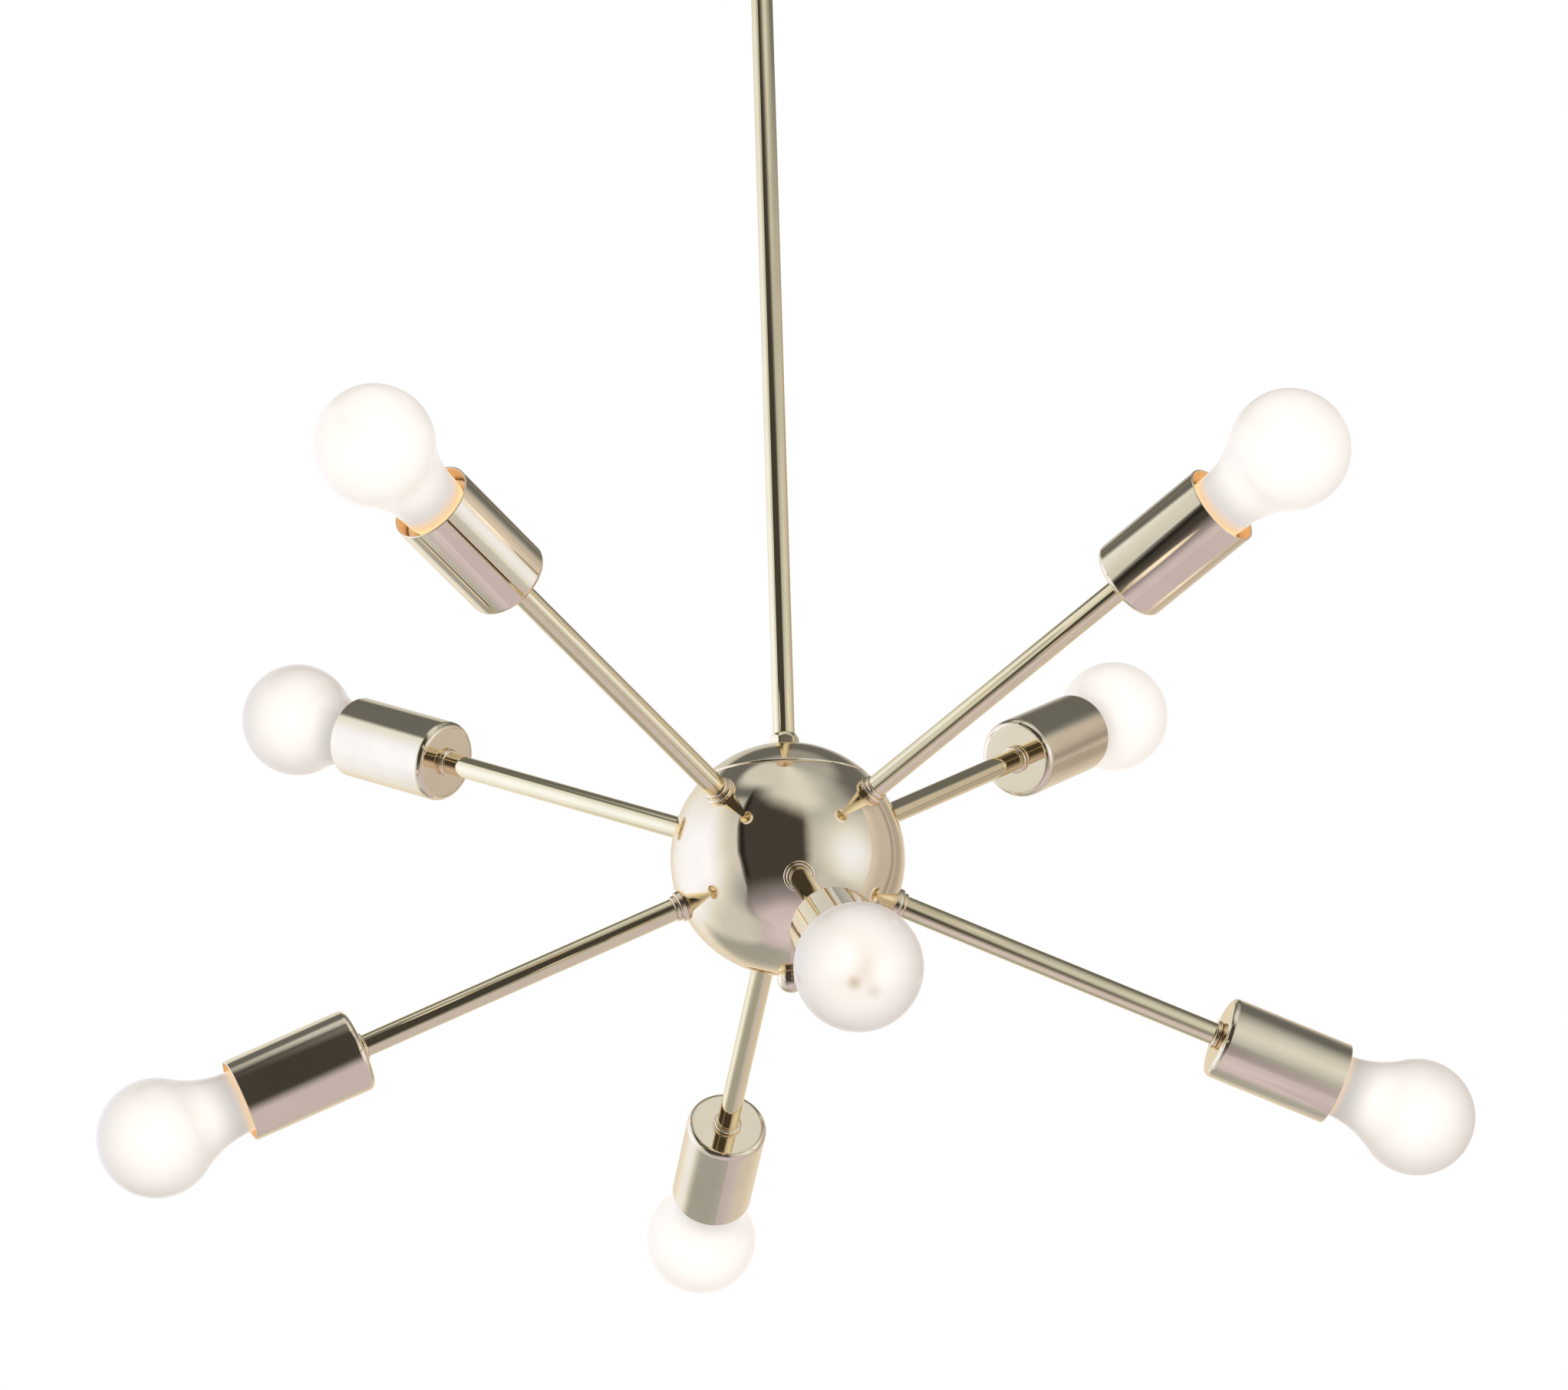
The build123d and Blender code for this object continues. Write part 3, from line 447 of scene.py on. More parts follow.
class ArmSizes(bpy.types.PropertyGroup):
    radius: length("Radius", 0.00575, "Outer radius of an arm's tube")
    bore: length("Bore", WIRE_HOLE, "Inner radius of an arm's tube")
    start: length("Start", 0.065, "From the ball's centre to the tube's lower end")
    end: length("End", 0.238, "From the ball's centre to the tube's upper end")
    flange: length("Flange radius", 0.008, "Radius of the collar's flange")
    flange_height: length("Flange height", 0.0024, "Height of the flange above the ball")
    step: length("Step radius", 0.00675, "Radius of the collar's upper step")
    ring: length("Ring radius", 0.0075, "Radius of the ring under the cup")
    ring_height: length("Ring height", 0.003, "Height of the ring under the cup")
    edge: length("Edge", 0.0009, "Rounding of the collar's edges")


class CupSizes(bpy.types.PropertyGroup):
    radius: length("Radius", 0.0215, "Outer radius of a cup")
    wall: length("Wall", 0.001, "Thickness of a cup's sheet")
    length: length("Length", 0.066, "Length of a cup")
    corner: length("Corner", 0.0035, "Rounding of a cup's closed end")
    inner_corner: length("Inner corner", 0.0025, "Rounding of a cup's inside at the closed end")
    holder: length("Holder radius", 0.0196, "Outer radius of the lampholder")
    holder_top: length("Holder depth", 0.008, "Depth of the lampholder's top below the cup's rim")
    mouth: length("Mouth radius", 0.0174, "Radius of the lampholder's mouth")


class LampSizes(bpy.types.PropertyGroup):
    seat: length("Seat", 0.27295, "From the ball's centre to the lamp's end contact")
    radius: length("Radius", 0.03015, "Radius of the glass")
    length: length("Length", 0.110, "Length of the lamp with its cap")
    waist: length("Waist radius", 0.0163, "Radius of the neck's waist")
    neck: number("Neck", 0.811, "The waist's share of the way from the globe's centre to the cap",
                 min=0.5, max=1.0)
    root: length("Root radius", 0.014, "Radius of the neck where it meets the cap")
    cap: length("Cap length", 0.0243, "Length of the screw cap")
    wall: length("Wall", 0.001, "Thickness of the glass")


class Finishes(bpy.types.PropertyGroup):
    brass_colour: tint("Brass", (0.94, 0.80, 0.585), "Colour of the polished brass")
    drawn_colour: tint("Drawn brass", (0.935, 0.80, 0.525), "Colour of the arms' and stem's drawn brass")
    edge_tint: tint("Edge tint", (1.0, 0.94, 0.82), "What the brass keeps of its colour at a slant")
    polish: number("Polish", 0.035, "Roughness of the brass", max=1.0)
    satin: number("Satin", 0.55, "Roughness of the brass inside the cups", max=1.0)
    glow_colour: tint("Glow", (0.98, 0.93, 0.86), "Light of the lamp's glass")
    dusk_colour: tint("Dusk", (0.42, 0.28, 0.15), "Light of the glass where the lamp's posts shade it")
    rim_colour: tint("Rim", (0.52, 0.47, 0.43), "Light of the glass seen at a slant")
    neck_colour: tint("Neck", (0.56, 0.53, 0.50), "Light of the neck above the cup")
    # painted light: the lamp's warmer light with a painted reflection of the cup's lit brass, at the rim and
    # inside the cup
    root_glow_and_reflection: tint("Root", (0.72, 0.50, 0.29), "Light of the neck at the cup's rim")
    deep_glow_and_reflection: tint("Deep root", (1.08, 0.65, 0.32), "Light of the neck inside the cup")
    glow_strength: number("Glow strength", 1.0, "Strength of the lamps")


class StudioSettings(bpy.types.PropertyGroup):
    floor_colour: tint("Floor", (0.92, 0.92, 0.92), "Colour of the pale floor")
    floor_lift: number("Floor lift", 0.14, "How much paler the camera sees the floor")
    floor_drop: length("Floor", 2.7, "Depth of the floor below the ceiling")
    daylight: number("Daylight", 0.75, "Soft light from all round")
    room_reach: length("Room", 1.3, "From the ball to the sheets and walls that the brass mirrors")
    distance: length("Camera distance", 3.564, "From the camera to the ball's centre")
    focal: number("Lens", 159.99, "Focal length in millimetres", min=1.0)
    azimuth: angle("Azimuth", 8.5, "The camera's turn to the left")
    climb: angle("Climb", 15.64, "How far the camera looks up")
    roll: angle("Roll", -1.73, "The camera's lean")


class ChandelierSettings(bpy.types.PropertyGroup):
    ball: PointerProperty(type=BallSizes, name="Ball", description="Sizes of the ball")
    arm: PointerProperty(type=ArmSizes, name="Arm", description="Sizes of the arms")
    cup: PointerProperty(type=CupSizes, name="Cup", description="Sizes of the cups")
    lamp: PointerProperty(type=LampSizes, name="Lamp", description="Sizes of the lamps")
    finish: PointerProperty(type=Finishes, name="Finish", description="Colours and gloss")
    studio: PointerProperty(type=StudioSettings, name="Studio", description="Floor, light and camera")


def material(name, make):
    """A material made once and then shared."""
    return bpy.data.materials.get(name) or make()


def polished(context, name="brass_polished"):
    """The brass of the ball and cups, the deeper one of the drawn tubes or the dull one inside the cups."""
    finish = context.scene.chandelier.finish
    colour = finish.drawn_colour if name == "brass_drawn" else finish.brass_colour
    rough = finish.satin if name == "brass_satin" else finish.polish
    return material(name, lambda: brass(name, colour, finish.edge_tint, rough))


def dress(slot, made):
    """Gives every CAD node of a material slot its finish."""
    for node in frame["nodes"].values():
        names = [m.name.split(".")[0] for m in node.data.materials]
        if slot in names:
            node.data.materials[names.index(slot)] = made


# ---------------------------------------------------------------- operators
class CHANDELIER_OT_ball(bpy.types.Operator):
    """Builds the ball's two halves with their seam, and the finial"""
    bl_idname = "chandelier.ball"
    bl_label = "Ball"

    def execute(self, context):
        size = context.scene.chandelier.ball
        metal = polished(context)
        places = [Matrix.Translation(ball_centre(size.radius))]
        seat = girth(girth(size.finial_drop, size.finial), size.radius)
        pieces = (("ball_lower_brass", self.lower_part(size, seat), 192, "ball_shell"),
                  ("ball_upper_brass", self.cap(size), 192, "ball_cap"),
                  ("finial_brass", self.finial(size, seat), 96, "finial"))
        for name, outline, sides, node in pieces:
            settle(turned(name, outline, places, metal, sides), "pendant", node)
        return {"FINISHED"}

    @staticmethod
    def lower_part(size, seat):
        """The ball from the finial's seat up to the seam, and back down its inside."""
        inside = size.radius - size.wall
        rise = size.seam - size.edge
        across, turn = girth(rise, size.radius - size.edge), slope(rise, size.radius - size.edge)
        floor = -girth(WIRE_HOLE, inside)
        return [arc(0, 0, size.radius, slope(-seat, size.radius), turn, 96),
                arc(across, rise, size.edge, turn, 90, 5),
                straight((across, size.seam), (girth(size.seam, inside), size.seam)),
                arc(0, 0, inside, slope(size.seam, inside), slope(floor, inside), 48, -1),
                straight((WIRE_HOLE, floor), (WIRE_HOLE, -seat)),
                straight((WIRE_HOLE, -seat), (girth(seat, size.radius), -seat))]

    @staticmethod
    def cap(size):
        """The ball above the seam, with the lip that slips into the lower part."""
        lip_gap, lip_wall, lip_depth = 0.00005, 0.0012, 0.004
        foot, top = size.seam + size.gap, seat_height(size.radius)
        rise = foot + size.cap_edge
        across, turn = girth(rise, size.radius - size.cap_edge), slope(rise, size.radius - size.cap_edge)
        lip = size.radius - size.wall - lip_gap
        inside, lip_foot = lip - lip_wall, size.seam - lip_depth
        roof = girth(WIRE_HOLE, inside)
        return [arc(across, rise, size.cap_edge, -90, turn, 9),
                arc(0, 0, size.radius, turn, slope(top, size.radius), 48),
                straight((girth(top, size.radius), top), (WIRE_HOLE, top)),
                straight((WIRE_HOLE, top), (WIRE_HOLE, roof)),
                arc(0, 0, inside, slope(roof, inside), slope(lip_foot, inside), 40, -1),
                straight((girth(lip_foot, inside), lip_foot), (girth(lip_foot, lip), lip_foot)),
                arc(0, 0, lip, slope(lip_foot, lip), slope(foot, lip), 6),
                straight((girth(foot, lip), foot), (across, foot))]

    @staticmethod
    def finial(size, seat):
        """The ball nut under the ball, with the blind hole for the rod's end."""
        hole_depth = 0.005
        end = -seat - hole_depth
        return [arc(0, -seat - size.finial_drop, size.finial, -90, slope(size.finial_drop, size.finial), 40),
                straight((girth(size.finial_drop, size.finial), -seat), (WIRE_HOLE, -seat)),
                straight((WIRE_HOLE, -seat), (WIRE_HOLE, end)),
                straight((WIRE_HOLE, end), (0, end))]


class CHANDELIER_OT_stem(bpy.types.Operator):
    """Builds the two lengths of stem and the hexagonal collar at their foot"""
    bl_idname = "chandelier.stem"
    bl_label = "Stem"

    def execute(self, context):
        metal = polished(context, "brass_drawn")
        edge = 0.0004
        for node in ("upper_stem", "lower_stem"):
            low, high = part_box(node)
            radius = (high.x - low.x) / 2
            outline = rounded([(WIRE_HOLE, low.z, 0), (radius, low.z, edge), (radius, high.z, edge),
                               (WIRE_HOLE, high.z, 0)])
            settle(turned(node + "_brass", outline, [Matrix()], metal), "pendant", node)
        nut = self.collar(metal)
        soften(nut, width=0.0003, angle=28)
        settle(nut, "pendant", "stem_nut")
        return {"FINISHED"}

    @staticmethod
    def collar(metal):
        """The hexagonal collar: six flats, drawn in above them to a round ring under the stem."""
        low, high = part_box("stem_nut")
        corner = max(high.x - low.x, high.y - low.y) / 2
        flats = corner * math.sqrt(3) / 2
        ring, ease, flats_share, cone_rows, sides = 0.0060, 0.00035, 0.6, 6, 72
        level = low.z + (high.z - low.z) * flats_share
        outline = [(low.z, corner - ease, flats - ease), (low.z + ease, corner, flats),
                   (level, corner, flats)]
        for row in range(1, cone_rows + 1):
            share = row / cone_rows
            cut = corner + (ring - corner) * share
            outline.append((level + (high.z - level) * share, cut, min(flats, cut)))
        points, faces = [], []
        spin = 0.0 if high.x - low.x > high.y - low.y else math.pi / 6
        turns = [math.tau * j / sides for j in range(sides)]
        for z, radius, flat in outline:
            for turn in turns:
                bearing = (turn - spin) % (math.pi / 3) - math.pi / 6
                r = min(flat / math.cos(bearing), radius)
                points.append((r * math.cos(turn), r * math.sin(turn), z))
        for z in (high.z, low.z):
            points.extend((WIRE_HOLE * math.cos(turn), WIRE_HOLE * math.sin(turn), z) for turn in turns)
        rows = len(outline) + 2
        for k in range(rows):
            for j in range(sides):
                n, up = (j + 1) % sides, (k + 1) % rows
                faces.append([k * sides + j, k * sides + n, up * sides + n, up * sides + j])
        return finished("stem_nut_brass", points, faces, metal)


def line_inside(piece, place, middle, made):
    """Gives the inside of a cup a finish of its own: the wall that looks at the axis, and the floor."""
    piece.data.materials.append(made)
    back = place.inverted()
    turn = back.to_3x3()
    for face in piece.data.polygons:
        spot, way = back @ face.center, turn @ face.normal
        looks_inward = spot.x * way.x + spot.y * way.y < -0.001
        is_floor = way.z > 0.5 and spot.z < middle
        if looks_inward or is_floor:
            face.material_index = 1


def soften(piece, width, angle):
    """Rounds a piece's sharp edges a little and keeps its flats flat."""
    bevel = piece.modifiers.new("eased_edges", "BEVEL")
    bevel.width, bevel.segments, bevel.limit_method = width, 2, "ANGLE"
    bevel.angle_limit = math.radians(angle)
    bevel.harden_normals = False
    keep = piece.modifiers.new("flat_faces", "WEIGHTED_NORMAL")
    keep.keep_sharp = True


class CHANDELIER_OT_arms(bpy.types.Operator):
    """Builds the eight arms with the collars at the ball and the rings at the cups"""
    bl_idname = "chandelier.arms"
    bl_label = "Arms"

    def execute(self, context):
        size, ball = context.scene.chandelier.arm, context.scene.chandelier.ball
        drawn, spun = polished(context, "brass_drawn"), polished(context)
        places = [arm_place(i, ball.radius) for i in LAMPS]
        edge = 0.0004
        tube = rounded([(size.bore, size.start, 0), (size.radius, size.start, edge),
                        (size.radius, size.end, edge), (size.bore, size.end, 0)])
        for i, place in zip(LAMPS, places):
            settle(turned(f"arm_{i}_brass", tube, [place], drawn), "pendant", f"arm_{i}")
        ends = (("arm_collars", self.collar(size, ball.radius)), ("cup_rings", self.ring(size)))
        for name, outline in ends:
            settle(turned(name + "_brass", outline, places, spun, 72), "pendant", name)
        return {"FINISHED"}

    @staticmethod
    def collar(size, ball_radius):
        """A collar on the ball, with a groove between its flange and its upper step."""
        gap, groove, crease, corner, lip = 0.00005, 0.00035, 0.0001, 0.0002, 0.0005
        seat, foot, neck = ball_radius + gap, ball_radius + size.flange_height, size.step - groove
        return rounded([(size.bore, girth(size.bore, seat), 0),
                        (size.flange, girth(size.flange, seat), crease), (size.flange, foot, size.edge),
                        (neck, foot, corner), (neck, foot + groove, crease), (size.step, foot + groove, lip),
                        (size.step, size.start, size.edge), (size.bore, size.start, 0)])

    @staticmethod
    def ring(size):
        """A ring with well rounded edges, between an arm and its cup."""
        top, edge = size.end + size.ring_height, size.ring_height * 0.42
        return rounded([(size.bore, size.end, 0), (size.ring, size.end, edge), (size.ring, top, edge),
                        (size.bore, top, 0)], steps=8)


class CHANDELIER_OT_cups(bpy.types.Operator):
    """Builds the eight spun cups and the ceramic lampholders in them"""
    bl_idname = "chandelier.cups"
    bl_label = "Cups"

    def execute(self, context):
        settings = context.scene.chandelier
        size, arm = settings.cup, settings.arm
        metal, satin = polished(context), polished(context, "brass_satin")
        places = [arm_place(i, settings.ball.radius) for i in LAMPS]
        face = arm.end + arm.ring_height
        rim, floor = face + size.length, face + size.wall
        inner, lip = size.radius - size.wall, size.wall * 0.48
        outline = rounded([(arm.bore, face, 0), (size.radius, face, size.corner), (size.radius, rim, lip),
                           (inner, rim, lip), (inner, floor, size.inner_corner), (arm.bore, floor, 0)],
                          steps=9)
        for i, place in zip(LAMPS, places):
            cup = turned(f"cup_{i}_brass", outline, [place], metal, 96)
            line_inside(cup, place, (face + rim) / 2, satin)
            settle(cup, "pendant", f"cup_{i}")
        cream = painted("holder_cream", (0.80, 0.72, 0.58), (0.74, 0.64, 0.49), 0.34, 90.0, 0.0)
        holder = self.holder(size, arm.bore, floor, rim - size.holder_top)
        settle(turned("lampholders_ceramic", holder, places, cream, 72), "pendant",
               "lampholders")
        return {"FINISHED"}

    @staticmethod
    def holder(size, bore, floor, top):
        """A lampholder: a tapered mouth, the screw shell's chamber, a bridge and the room for the leads."""
        foot_edge, top_edge, mouth_edge, taper_edge = 0.0025, 0.0008, 0.0006, 0.0004
        taper, chamber, contact_hole, lead_room = 0.0018, 0.01375, 0.00165, 0.0095
        taper_foot, chamber_foot, bridge_foot, base = top - 0.005, top - 0.032, top - 0.036, floor + 0.006
        return rounded([(bore, floor, 0), (size.holder, floor, foot_edge), (size.holder, top, top_edge),
                        (size.mouth, top, mouth_edge), (size.mouth - taper, taper_foot, taper_edge),
                        (chamber, taper_foot, 0), (chamber, chamber_foot, 0),
                        (contact_hole, chamber_foot, 0), (contact_hole, bridge_foot, 0),
                        (lead_room, bridge_foot, 0), (lead_room, base, 0), (bore, base, 0)])


class CHANDELIER_OT_lamps(bpy.types.Operator):
    """Builds the eight frosted lamps"""
    bl_idname = "chandelier.lamps"
    bl_label = "Lamps"

    def execute(self, context):
        settings = context.scene.chandelier
        size = settings.lamp
        glass = {share: frosted(settings.finish, share) for share in sorted(set(LAMP_SHARES))}
        outside, inside = self.skin(size, 0.0), self.skin(size, size.wall)
        foot = straight((size.root - size.wall, size.cap), (size.root, size.cap))
        lining = [[(r, z, -nr, -nz) for r, z, nr, nz in reversed(s)] for s in reversed(inside)]
        for i, share in zip(LAMPS, LAMP_SHARES):
            place = arm_place(i, settings.ball.radius) @ Matrix.Translation((0, 0, size.seat))
            lamp = turned(f"bulb_{i}_frosted", [*outside, foot, *lining], [place], glass[share], 96)
            self.map_crown(lamp, place, size.radius)
            settle(lamp, f"bulb_{i}", f"bulb_glass_{i}")
        return {"FINISHED"}

    @staticmethod
    def map_crown(lamp, place, radius):
        """A second UV that looks along the lamp, for what shows through its crown."""
        layer, back = lamp.data.uv_layers.new(name="crown"), place.inverted()
        spots = [back @ v.co for v in lamp.data.vertices]
        flat = [(spots[loop.vertex_index] / (2 * radius)) for loop in lamp.data.loops]
        layer.data.foreach_set("uv", [value for spot in flat for value in (spot.x + 0.5, spot.y + 0.5)])

    @staticmethod
    def skin(size, wall):
        """The glass from its root up to the crown's middle, set in by the wall."""
        head, waist, root = size.radius - wall, size.waist - wall, size.root - wall
        centre = size.length - size.radius
        drop = (centre - size.cap) * size.neck
        flare = wall + (size.waist ** 2 + drop ** 2 - size.radius ** 2) / (2 * (size.radius - size.waist))
        low = centre - drop
        step, fall = waist - root, low - size.cap
        curve = (step ** 2 + fall ** 2) / (2 * step)
        start = -math.degrees(math.asin(fall / curve))
        lean = math.degrees(math.asin(drop / (head + flare)))
        return [arc(waist - curve, low, curve, start, 0, 12),
                arc(waist + flare, low, flare, 180, 180 - lean, 24, -1),
                arc(0, centre, head, -lean, 90, 56)]


class CHANDELIER_OT_ceiling(bpy.types.Operator):
    """Builds the canopy and dresses the swivel and the ceiling fixings"""
    bl_idname = "chandelier.ceiling"
    bl_label = "Ceiling pieces"

    def execute(self, context):
        metal = polished(context)
        low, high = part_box("canopy")
        radius, wall, corner, lip = (high.x - low.x) / 2, 0.001, 0.005, 0.00045
        outline = rounded([(WIRE_HOLE, low.z, 0), (radius, low.z, corner), (radius, high.z, lip),
                           (radius - wall, high.z, lip), (radius - wall, low.z + wall, corner - wall),
                           (WIRE_HOLE, low.z + wall, 0)], steps=8)
        settle(turned("canopy_brass", outline, [Matrix()], metal, 144), "ceiling_mount",
               "canopy")
        dress("polished_brass", metal)
        for slot, *finish in SMALL_FINISHES:
            dress(slot, painted(*finish))
        return {"FINISHED"}


# ---------------------------------------------------------------- the studio
def room_light(shade, turn):
    """The studio that the brass mirrors, as a light and its tint for every direction.

    Bearings are to the camera's right and climbs above level, both in degrees, and lights are shares of
    white. A white sheet stands on the left and a dark room behind the camera. A lit sheet and a grey wall
    stand on the right, a grey ceiling with dark gaps round it hangs above, and the floor is mauve.
    """
    white_tint, bright_tint, back_tint = (0.94, 1.0, 1.08), (0.83, 0.93, 1.22), (1.02, 0.99, 0.95)
    floor_tint, dark_tint = (0.97, 0.92, 1.14), (1.03, 0.98, 0.98)
    gap_light, dark_light, back_light, corner_light = 0.16, 0.057, 0.80, 0.41
    bearing_wobble, climb_wobble = 5.0, 6.0
    place = shade.node("ShaderNodeTexCoord", out="Object")
    x = shade.along(place, (math.cos(turn), -math.sin(turn), 0.0))
    y = shade.along(place, (-math.sin(turn), -math.cos(turn), 0.0))
    z = shade.along(place, (0.0, 0.0, 1.0))
    bearing = shade.degrees(x, y) + (shade.noise(1.6, 3.0) - 0.5) * bearing_wobble
    climb = shade.degrees(z, (x * x + y * y) ** 0.5) + (shade.noise(1.3, 2.0) - 0.5) * climb_wobble

    # the ceiling, darker to the right and behind the chandelier, and the gaps between it and the walls
    ceiling = 0.72 + bearing.near(18, 34) * 0.10 - bearing.between(26, 88) * 0.27
    ceiling = ceiling - bearing.between(100, 150) * 0.10
    ceiling = ceiling * (1.0 - bearing.between(28, 60) * climb.between(64, 44) * 0.22)
    ceiling = ceiling.turned_to(0.34, abs(bearing).between(104, 150) * 0.75)
    unbroken = bearing.between(-46, -6) * bearing.between(100, 62)
    rim = 58 + bearing.between(-70, -125) * 14
    light = ceiling.turned_to(gap_light, climb.between(rim + 7, rim - 5) * (1.0 - unbroken))

    # the white sheet on the left, whose edge softens towards the floor
    sheet = 0.72 + bearing.between(-52, -88) * 0.56 - bearing.between(-122, -172) * 0.42
    sheet = sheet * (1.0 - climb.between(12, 50) * 0.30) * (1.0 - climb.between(-6, -42) * 0.46)
    edge, blur = -48.5 - climb.between(-30, -58) * 17, 1.2 + climb.between(-32, -50) * 8
    light = light.turned_to(sheet, bearing.between(edge + blur, edge - blur) * climb.between(51, 43))

    # the sheet on the right with its pool of light, and the grey wall beyond it
    pool = ((bearing - 66) / 34) ** 2 + ((climb + 3) / 28) ** 2
    light = light.turned_to(0.45 + pool.falling() * 0.72, bearing.between(12, 26) * climb.between(44, 26))
    wall = 0.57 + bearing.between(104, 89) * 0.13 - bearing.between(126, 132) * 0.14
    wall = wall + bearing.between(136, 150) * 0.14
    side = bearing.between(87.2, 89.2) * climb.between(39, 28)
    light = light.turned_to(wall - bearing.near(122.5, 5.5) * 0.22, side)

    # the dark room behind the camera, under a sloping top
    top = 26 - bearing * 0.47
    room = bearing.between(-47.2, -45.4) * bearing.between(27, 14)
    room = room * climb.between(top + 26 + bearing * 0.25, top)
    light = light.turned_to(dark_light - bearing.near(-44, 5) * 0.036, room)

    # the floor: ahead and to the right, on the left, and its darker far corner
    floor = 0.06 + climb.between(-27, -52) * 0.26 + climb.between(-47, -66) * 0.34
    floor = (floor + climb.between(-66, -84) * 0.06).turned_to(0.62, bearing.between(14, 34))
    ahead = bearing.between(edge - blur, edge + blur) * bearing.between(180, 160) * climb.between(-22, -32)
    light = light.turned_to(floor, ahead)
    left = bearing.between(-52, -62) * climb.between(-54, -70)
    light = light.turned_to(0.60 + climb.between(-68, -82) * 0.09, left)
    corner = bearing.between(-122, -142) * bearing.between(-186, -160)
    light = light.turned_to(corner_light, corner * climb.between(-14, -30) * climb.between(-72, -60))

    # the pale wall behind the chandelier
    behind = abs(bearing).between(140, 172) * climb.between(33, 18) * climb.between(-44, -10)
    light = light.turned_to(back_light, behind)

    tone = shade.mix(light.between(0.75, 1.25), white_tint, bright_tint)
    tone = shade.mix(behind, tone, back_tint)
    under_sheet = bearing.between(-56, -72) * climb.between(-72, -60)
    tone = shade.mix(climb.between(-30, -46) * (1.0 - under_sheet), tone, floor_tint)
    dark = (side * bearing.between(170, 150) + room).clamped() * climb.between(-44, -30)
    tone = shade.mix(dark, tone, dark_tint)
    return shade.node("ShaderNodeVectorMath", {"operation": "SCALE"}, {0: tone, "Scale": light})


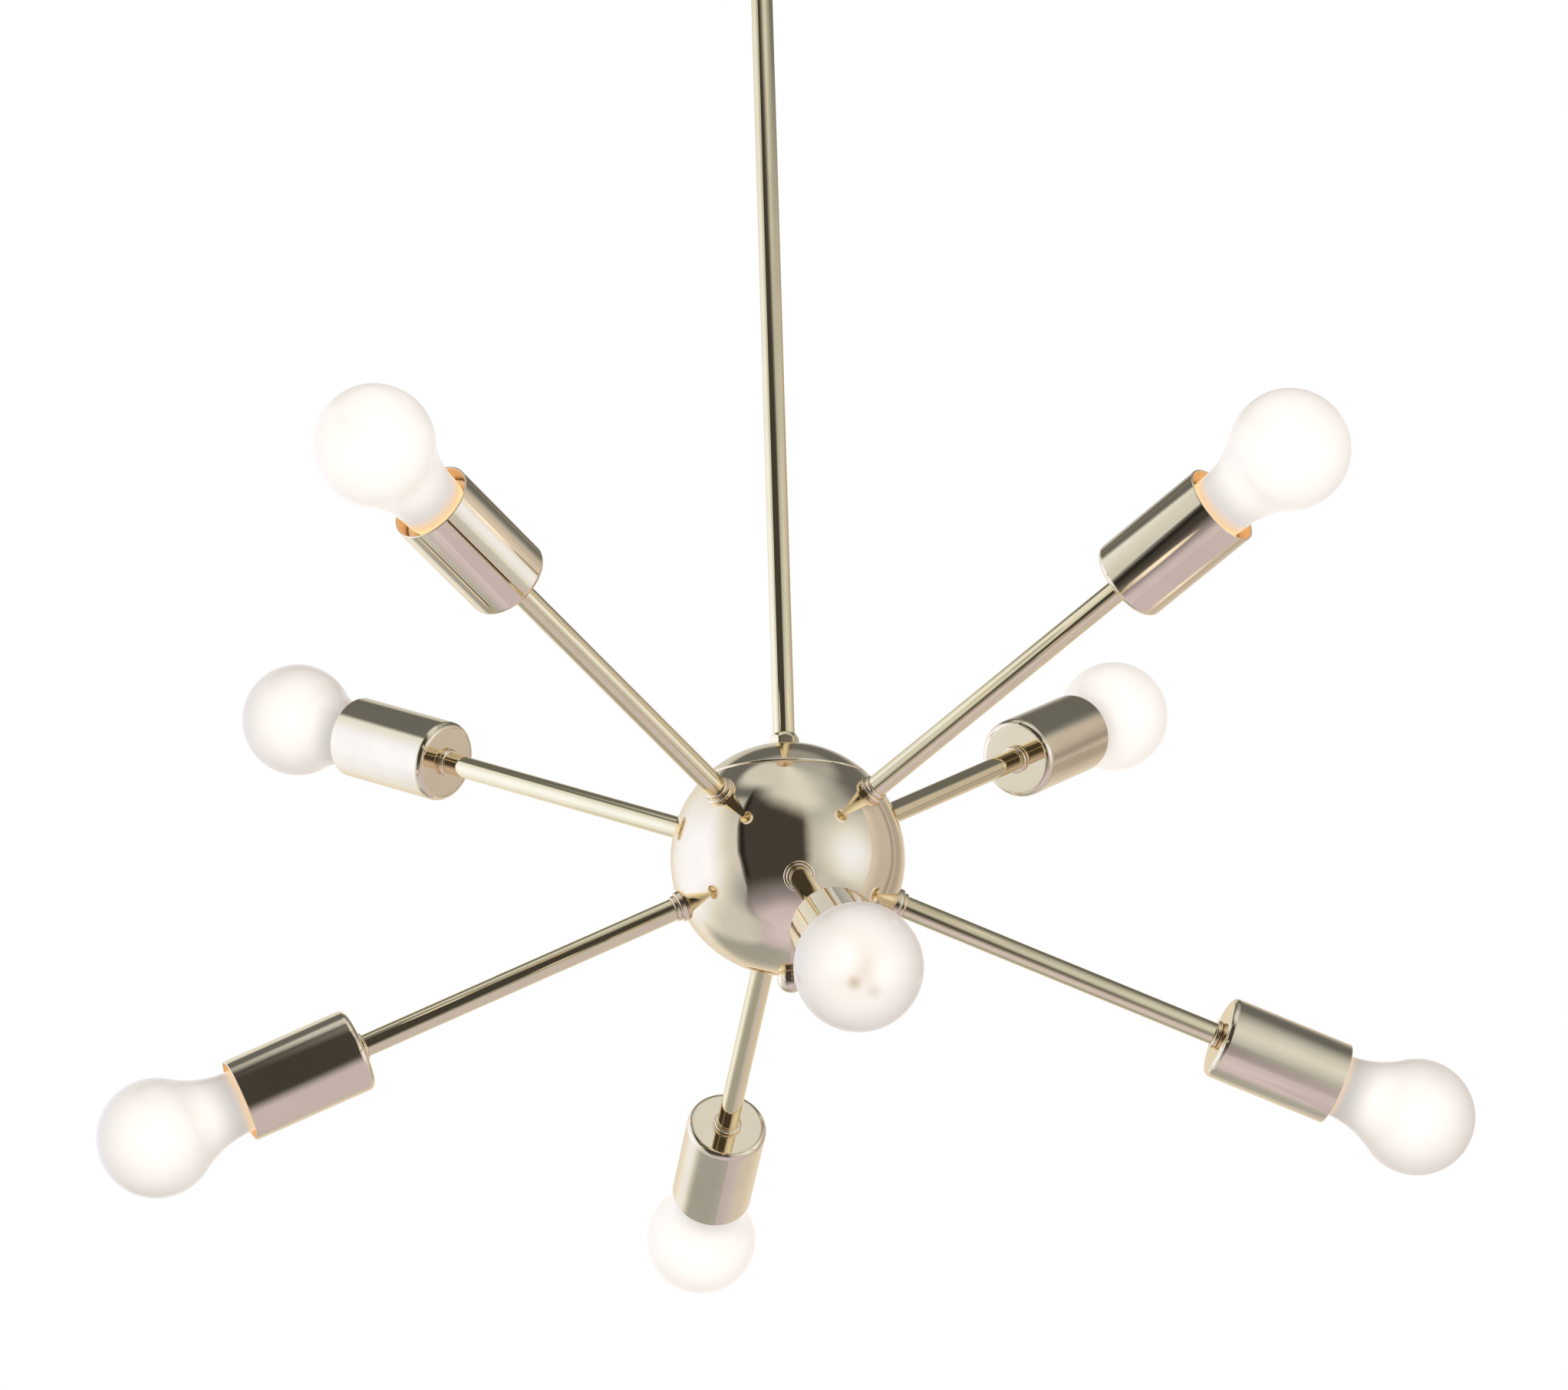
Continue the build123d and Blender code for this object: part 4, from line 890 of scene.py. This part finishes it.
class CHANDELIER_OT_stage(bpy.types.Operator):
    """Sets up the floor, the white surroundings, the room that the brass mirrors and the camera"""
    bl_idname = "chandelier.stage"
    bl_label = "Stage"

    def execute(self, context):
        scene = context.scene
        studio = scene.chandelier.studio
        middle = ball_centre(scene.chandelier.ball.radius)
        self.floor(studio)
        self.surroundings(scene, studio)
        self.room(middle, studio)
        self.camera(scene, studio, middle)
        scene.view_settings.view_transform = "Standard"
        return {"FINISHED"}

    @staticmethod
    def floor(studio):
        """A plain pale floor, which a camera below it sees through."""
        worn_share, cells, reach = 0.97, 24, 30.0
        shade = Shade("pale_floor")
        cloud = shade.noise(3.0, 3.0)
        tone = shade.mix(cloud, studio.floor_colour, [c * worn_share for c in studio.floor_colour])
        lift = shade.mix(shade.node("ShaderNodeLightPath", out="Is Camera Ray"), (0.0, 0.0, 0.0),
                         [studio.floor_lift] * 3)
        paint = shade.node("ShaderNodeBsdfPrincipled", {}, {
            "Base Color": tone, "Roughness": 0.85, "Specular IOR Level": 0.0, "Emission Color": lift,
            "Emission Strength": 1.0})
        below = shade.node("ShaderNodeNewGeometry", out="Backfacing")
        clear = shade.node("ShaderNodeBsdfTransparent")
        mat = shade.surface(shade.node("ShaderNodeMixShader", {}, {0: below, 1: paint, 2: clear}))
        row = cells + 1
        points = [(reach * (2 * i / cells - 1), reach * (2 * j / cells - 1), -studio.floor_drop)
                  for j in range(row) for i in range(row)]
        faces = [[j * row + i, j * row + i + 1, (j + 1) * row + i + 1, (j + 1) * row + i]
                 for j in range(cells) for i in range(cells)]
        finished("studio_floor", points, faces, mat)

    @staticmethod
    def surroundings(scene, studio):
        """White to the camera, to gloss and through glass, and a plain soft light on everything else."""
        world = bpy.data.worlds.new("white_surroundings")
        world.use_nodes = True
        scene.world = world
        shade = Shade("white_surroundings", world.node_tree)
        path = {out: shade.node("ShaderNodeLightPath", out=out)
                for out in ("Is Camera Ray", "Is Glossy Ray", "Is Transmission Ray")}
        seen = (path["Is Camera Ray"] + path["Is Glossy Ray"] + path["Is Transmission Ray"]).clamped()
        strength = seen * (1.0 - studio.daylight) + studio.daylight
        light = shade.node("ShaderNodeBackground", {}, {"Color": (1.0, 1.0, 1.0), "Strength": strength})
        shade.node("ShaderNodeOutputWorld", {}, {"Surface": light})

    @staticmethod
    def room(middle, studio):
        """The room round the chandelier, which only its gloss sees."""
        shade = Shade("studio_room")
        shine = shade.surface(shade.node("ShaderNodeEmission", {}, {
            "Color": room_light(shade, studio.azimuth), "Strength": 1.0}))
        shine.cycles.emission_sampling = "NONE"
        reach = studio.room_reach
        shell = turned("studio_room", [arc(0, 0, reach, -90, 90, 48, -1)], [Matrix()], shine, 96)
        shell.location = middle
        for unseen in ("visible_camera", "visible_diffuse", "visible_transmission",
                       "visible_volume_scatter", "visible_shadow"):
            setattr(shell, unseen, False)

    @staticmethod
    def camera(scene, studio, middle):
        """The photograph's viewpoint, with the ball's centre at its place in the frame."""
        climb, roll = studio.climb, studio.roll
        pixels = studio.focal / SENSOR_WIDTH * PICTURE_WIDTH
        right, ahead = Vector((1, 0, 0)), Vector((0, math.cos(climb), math.sin(climb)))
        up = Vector((0, -math.sin(climb), math.cos(climb)))
        across = right * math.cos(roll) + up * math.sin(roll)
        over = up * math.cos(roll) - right * math.sin(roll)
        sideways = across * (BALL_PIXEL_X - PICTURE_WIDTH / 2) / pixels
        upward = over * (BALL_PIXEL_Y - PICTURE_HEIGHT / 2) / pixels
        line = (sideways - upward + ahead).normalized()
        spin = Matrix.Rotation(-studio.azimuth, 3, "Z")
        lens = bpy.data.cameras.new("studio_camera")
        lens.sensor_fit, lens.sensor_width, lens.lens = "HORIZONTAL", SENSOR_WIDTH, studio.focal
        lens.clip_start, lens.clip_end = 0.05, 100.0
        camera = bpy.data.objects.new("studio_camera", lens)
        scene.collection.objects.link(camera)
        axes = spin @ Matrix((across, over, -ahead)).transposed()
        camera.matrix_world = Matrix.Translation(middle - spin @ line * studio.distance) @ axes.to_4x4()
        scene.camera = camera


class CHANDELIER_PT_pieces(bpy.types.Panel):
    """Lists the chandelier's pieces"""
    bl_idname = "CHANDELIER_PT_pieces"
    bl_label = "Sputnik chandelier"
    bl_space_type = "VIEW_3D"
    bl_region_type = "UI"
    bl_category = "Chandelier"

    def draw(self, context):
        settings = context.scene.chandelier
        for group in (settings.ball, settings.arm, settings.cup, settings.lamp, settings.finish,
                      settings.studio):
            box = self.layout.box()
            for key in group.__annotations__:
                box.prop(group, key)
        for operator in OPERATORS:
            self.layout.operator(operator.bl_idname)


OPERATORS = (CHANDELIER_OT_ball, CHANDELIER_OT_stem, CHANDELIER_OT_arms, CHANDELIER_OT_cups,
             CHANDELIER_OT_lamps, CHANDELIER_OT_ceiling, CHANDELIER_OT_stage)
CLASSES = (BallSizes, ArmSizes, CupSizes, LampSizes, Finishes, StudioSettings, ChandelierSettings,
           *OPERATORS, CHANDELIER_PT_pieces)


def register():
    for item in CLASSES:
        bpy.utils.register_class(item)
    bpy.types.Scene.chandelier = PointerProperty(type=ChandelierSettings)


def unregister():
    del bpy.types.Scene.chandelier
    for item in reversed(CLASSES):
        bpy.utils.unregister_class(item)


def main():
    register()
    bpy.ops.chandelier.ball()
    bpy.ops.chandelier.stem()
    bpy.ops.chandelier.arms()
    bpy.ops.chandelier.cups()
    bpy.ops.chandelier.lamps()
    bpy.ops.chandelier.ceiling()
    bpy.ops.chandelier.stage()


if __name__ == "__main__":
    main()
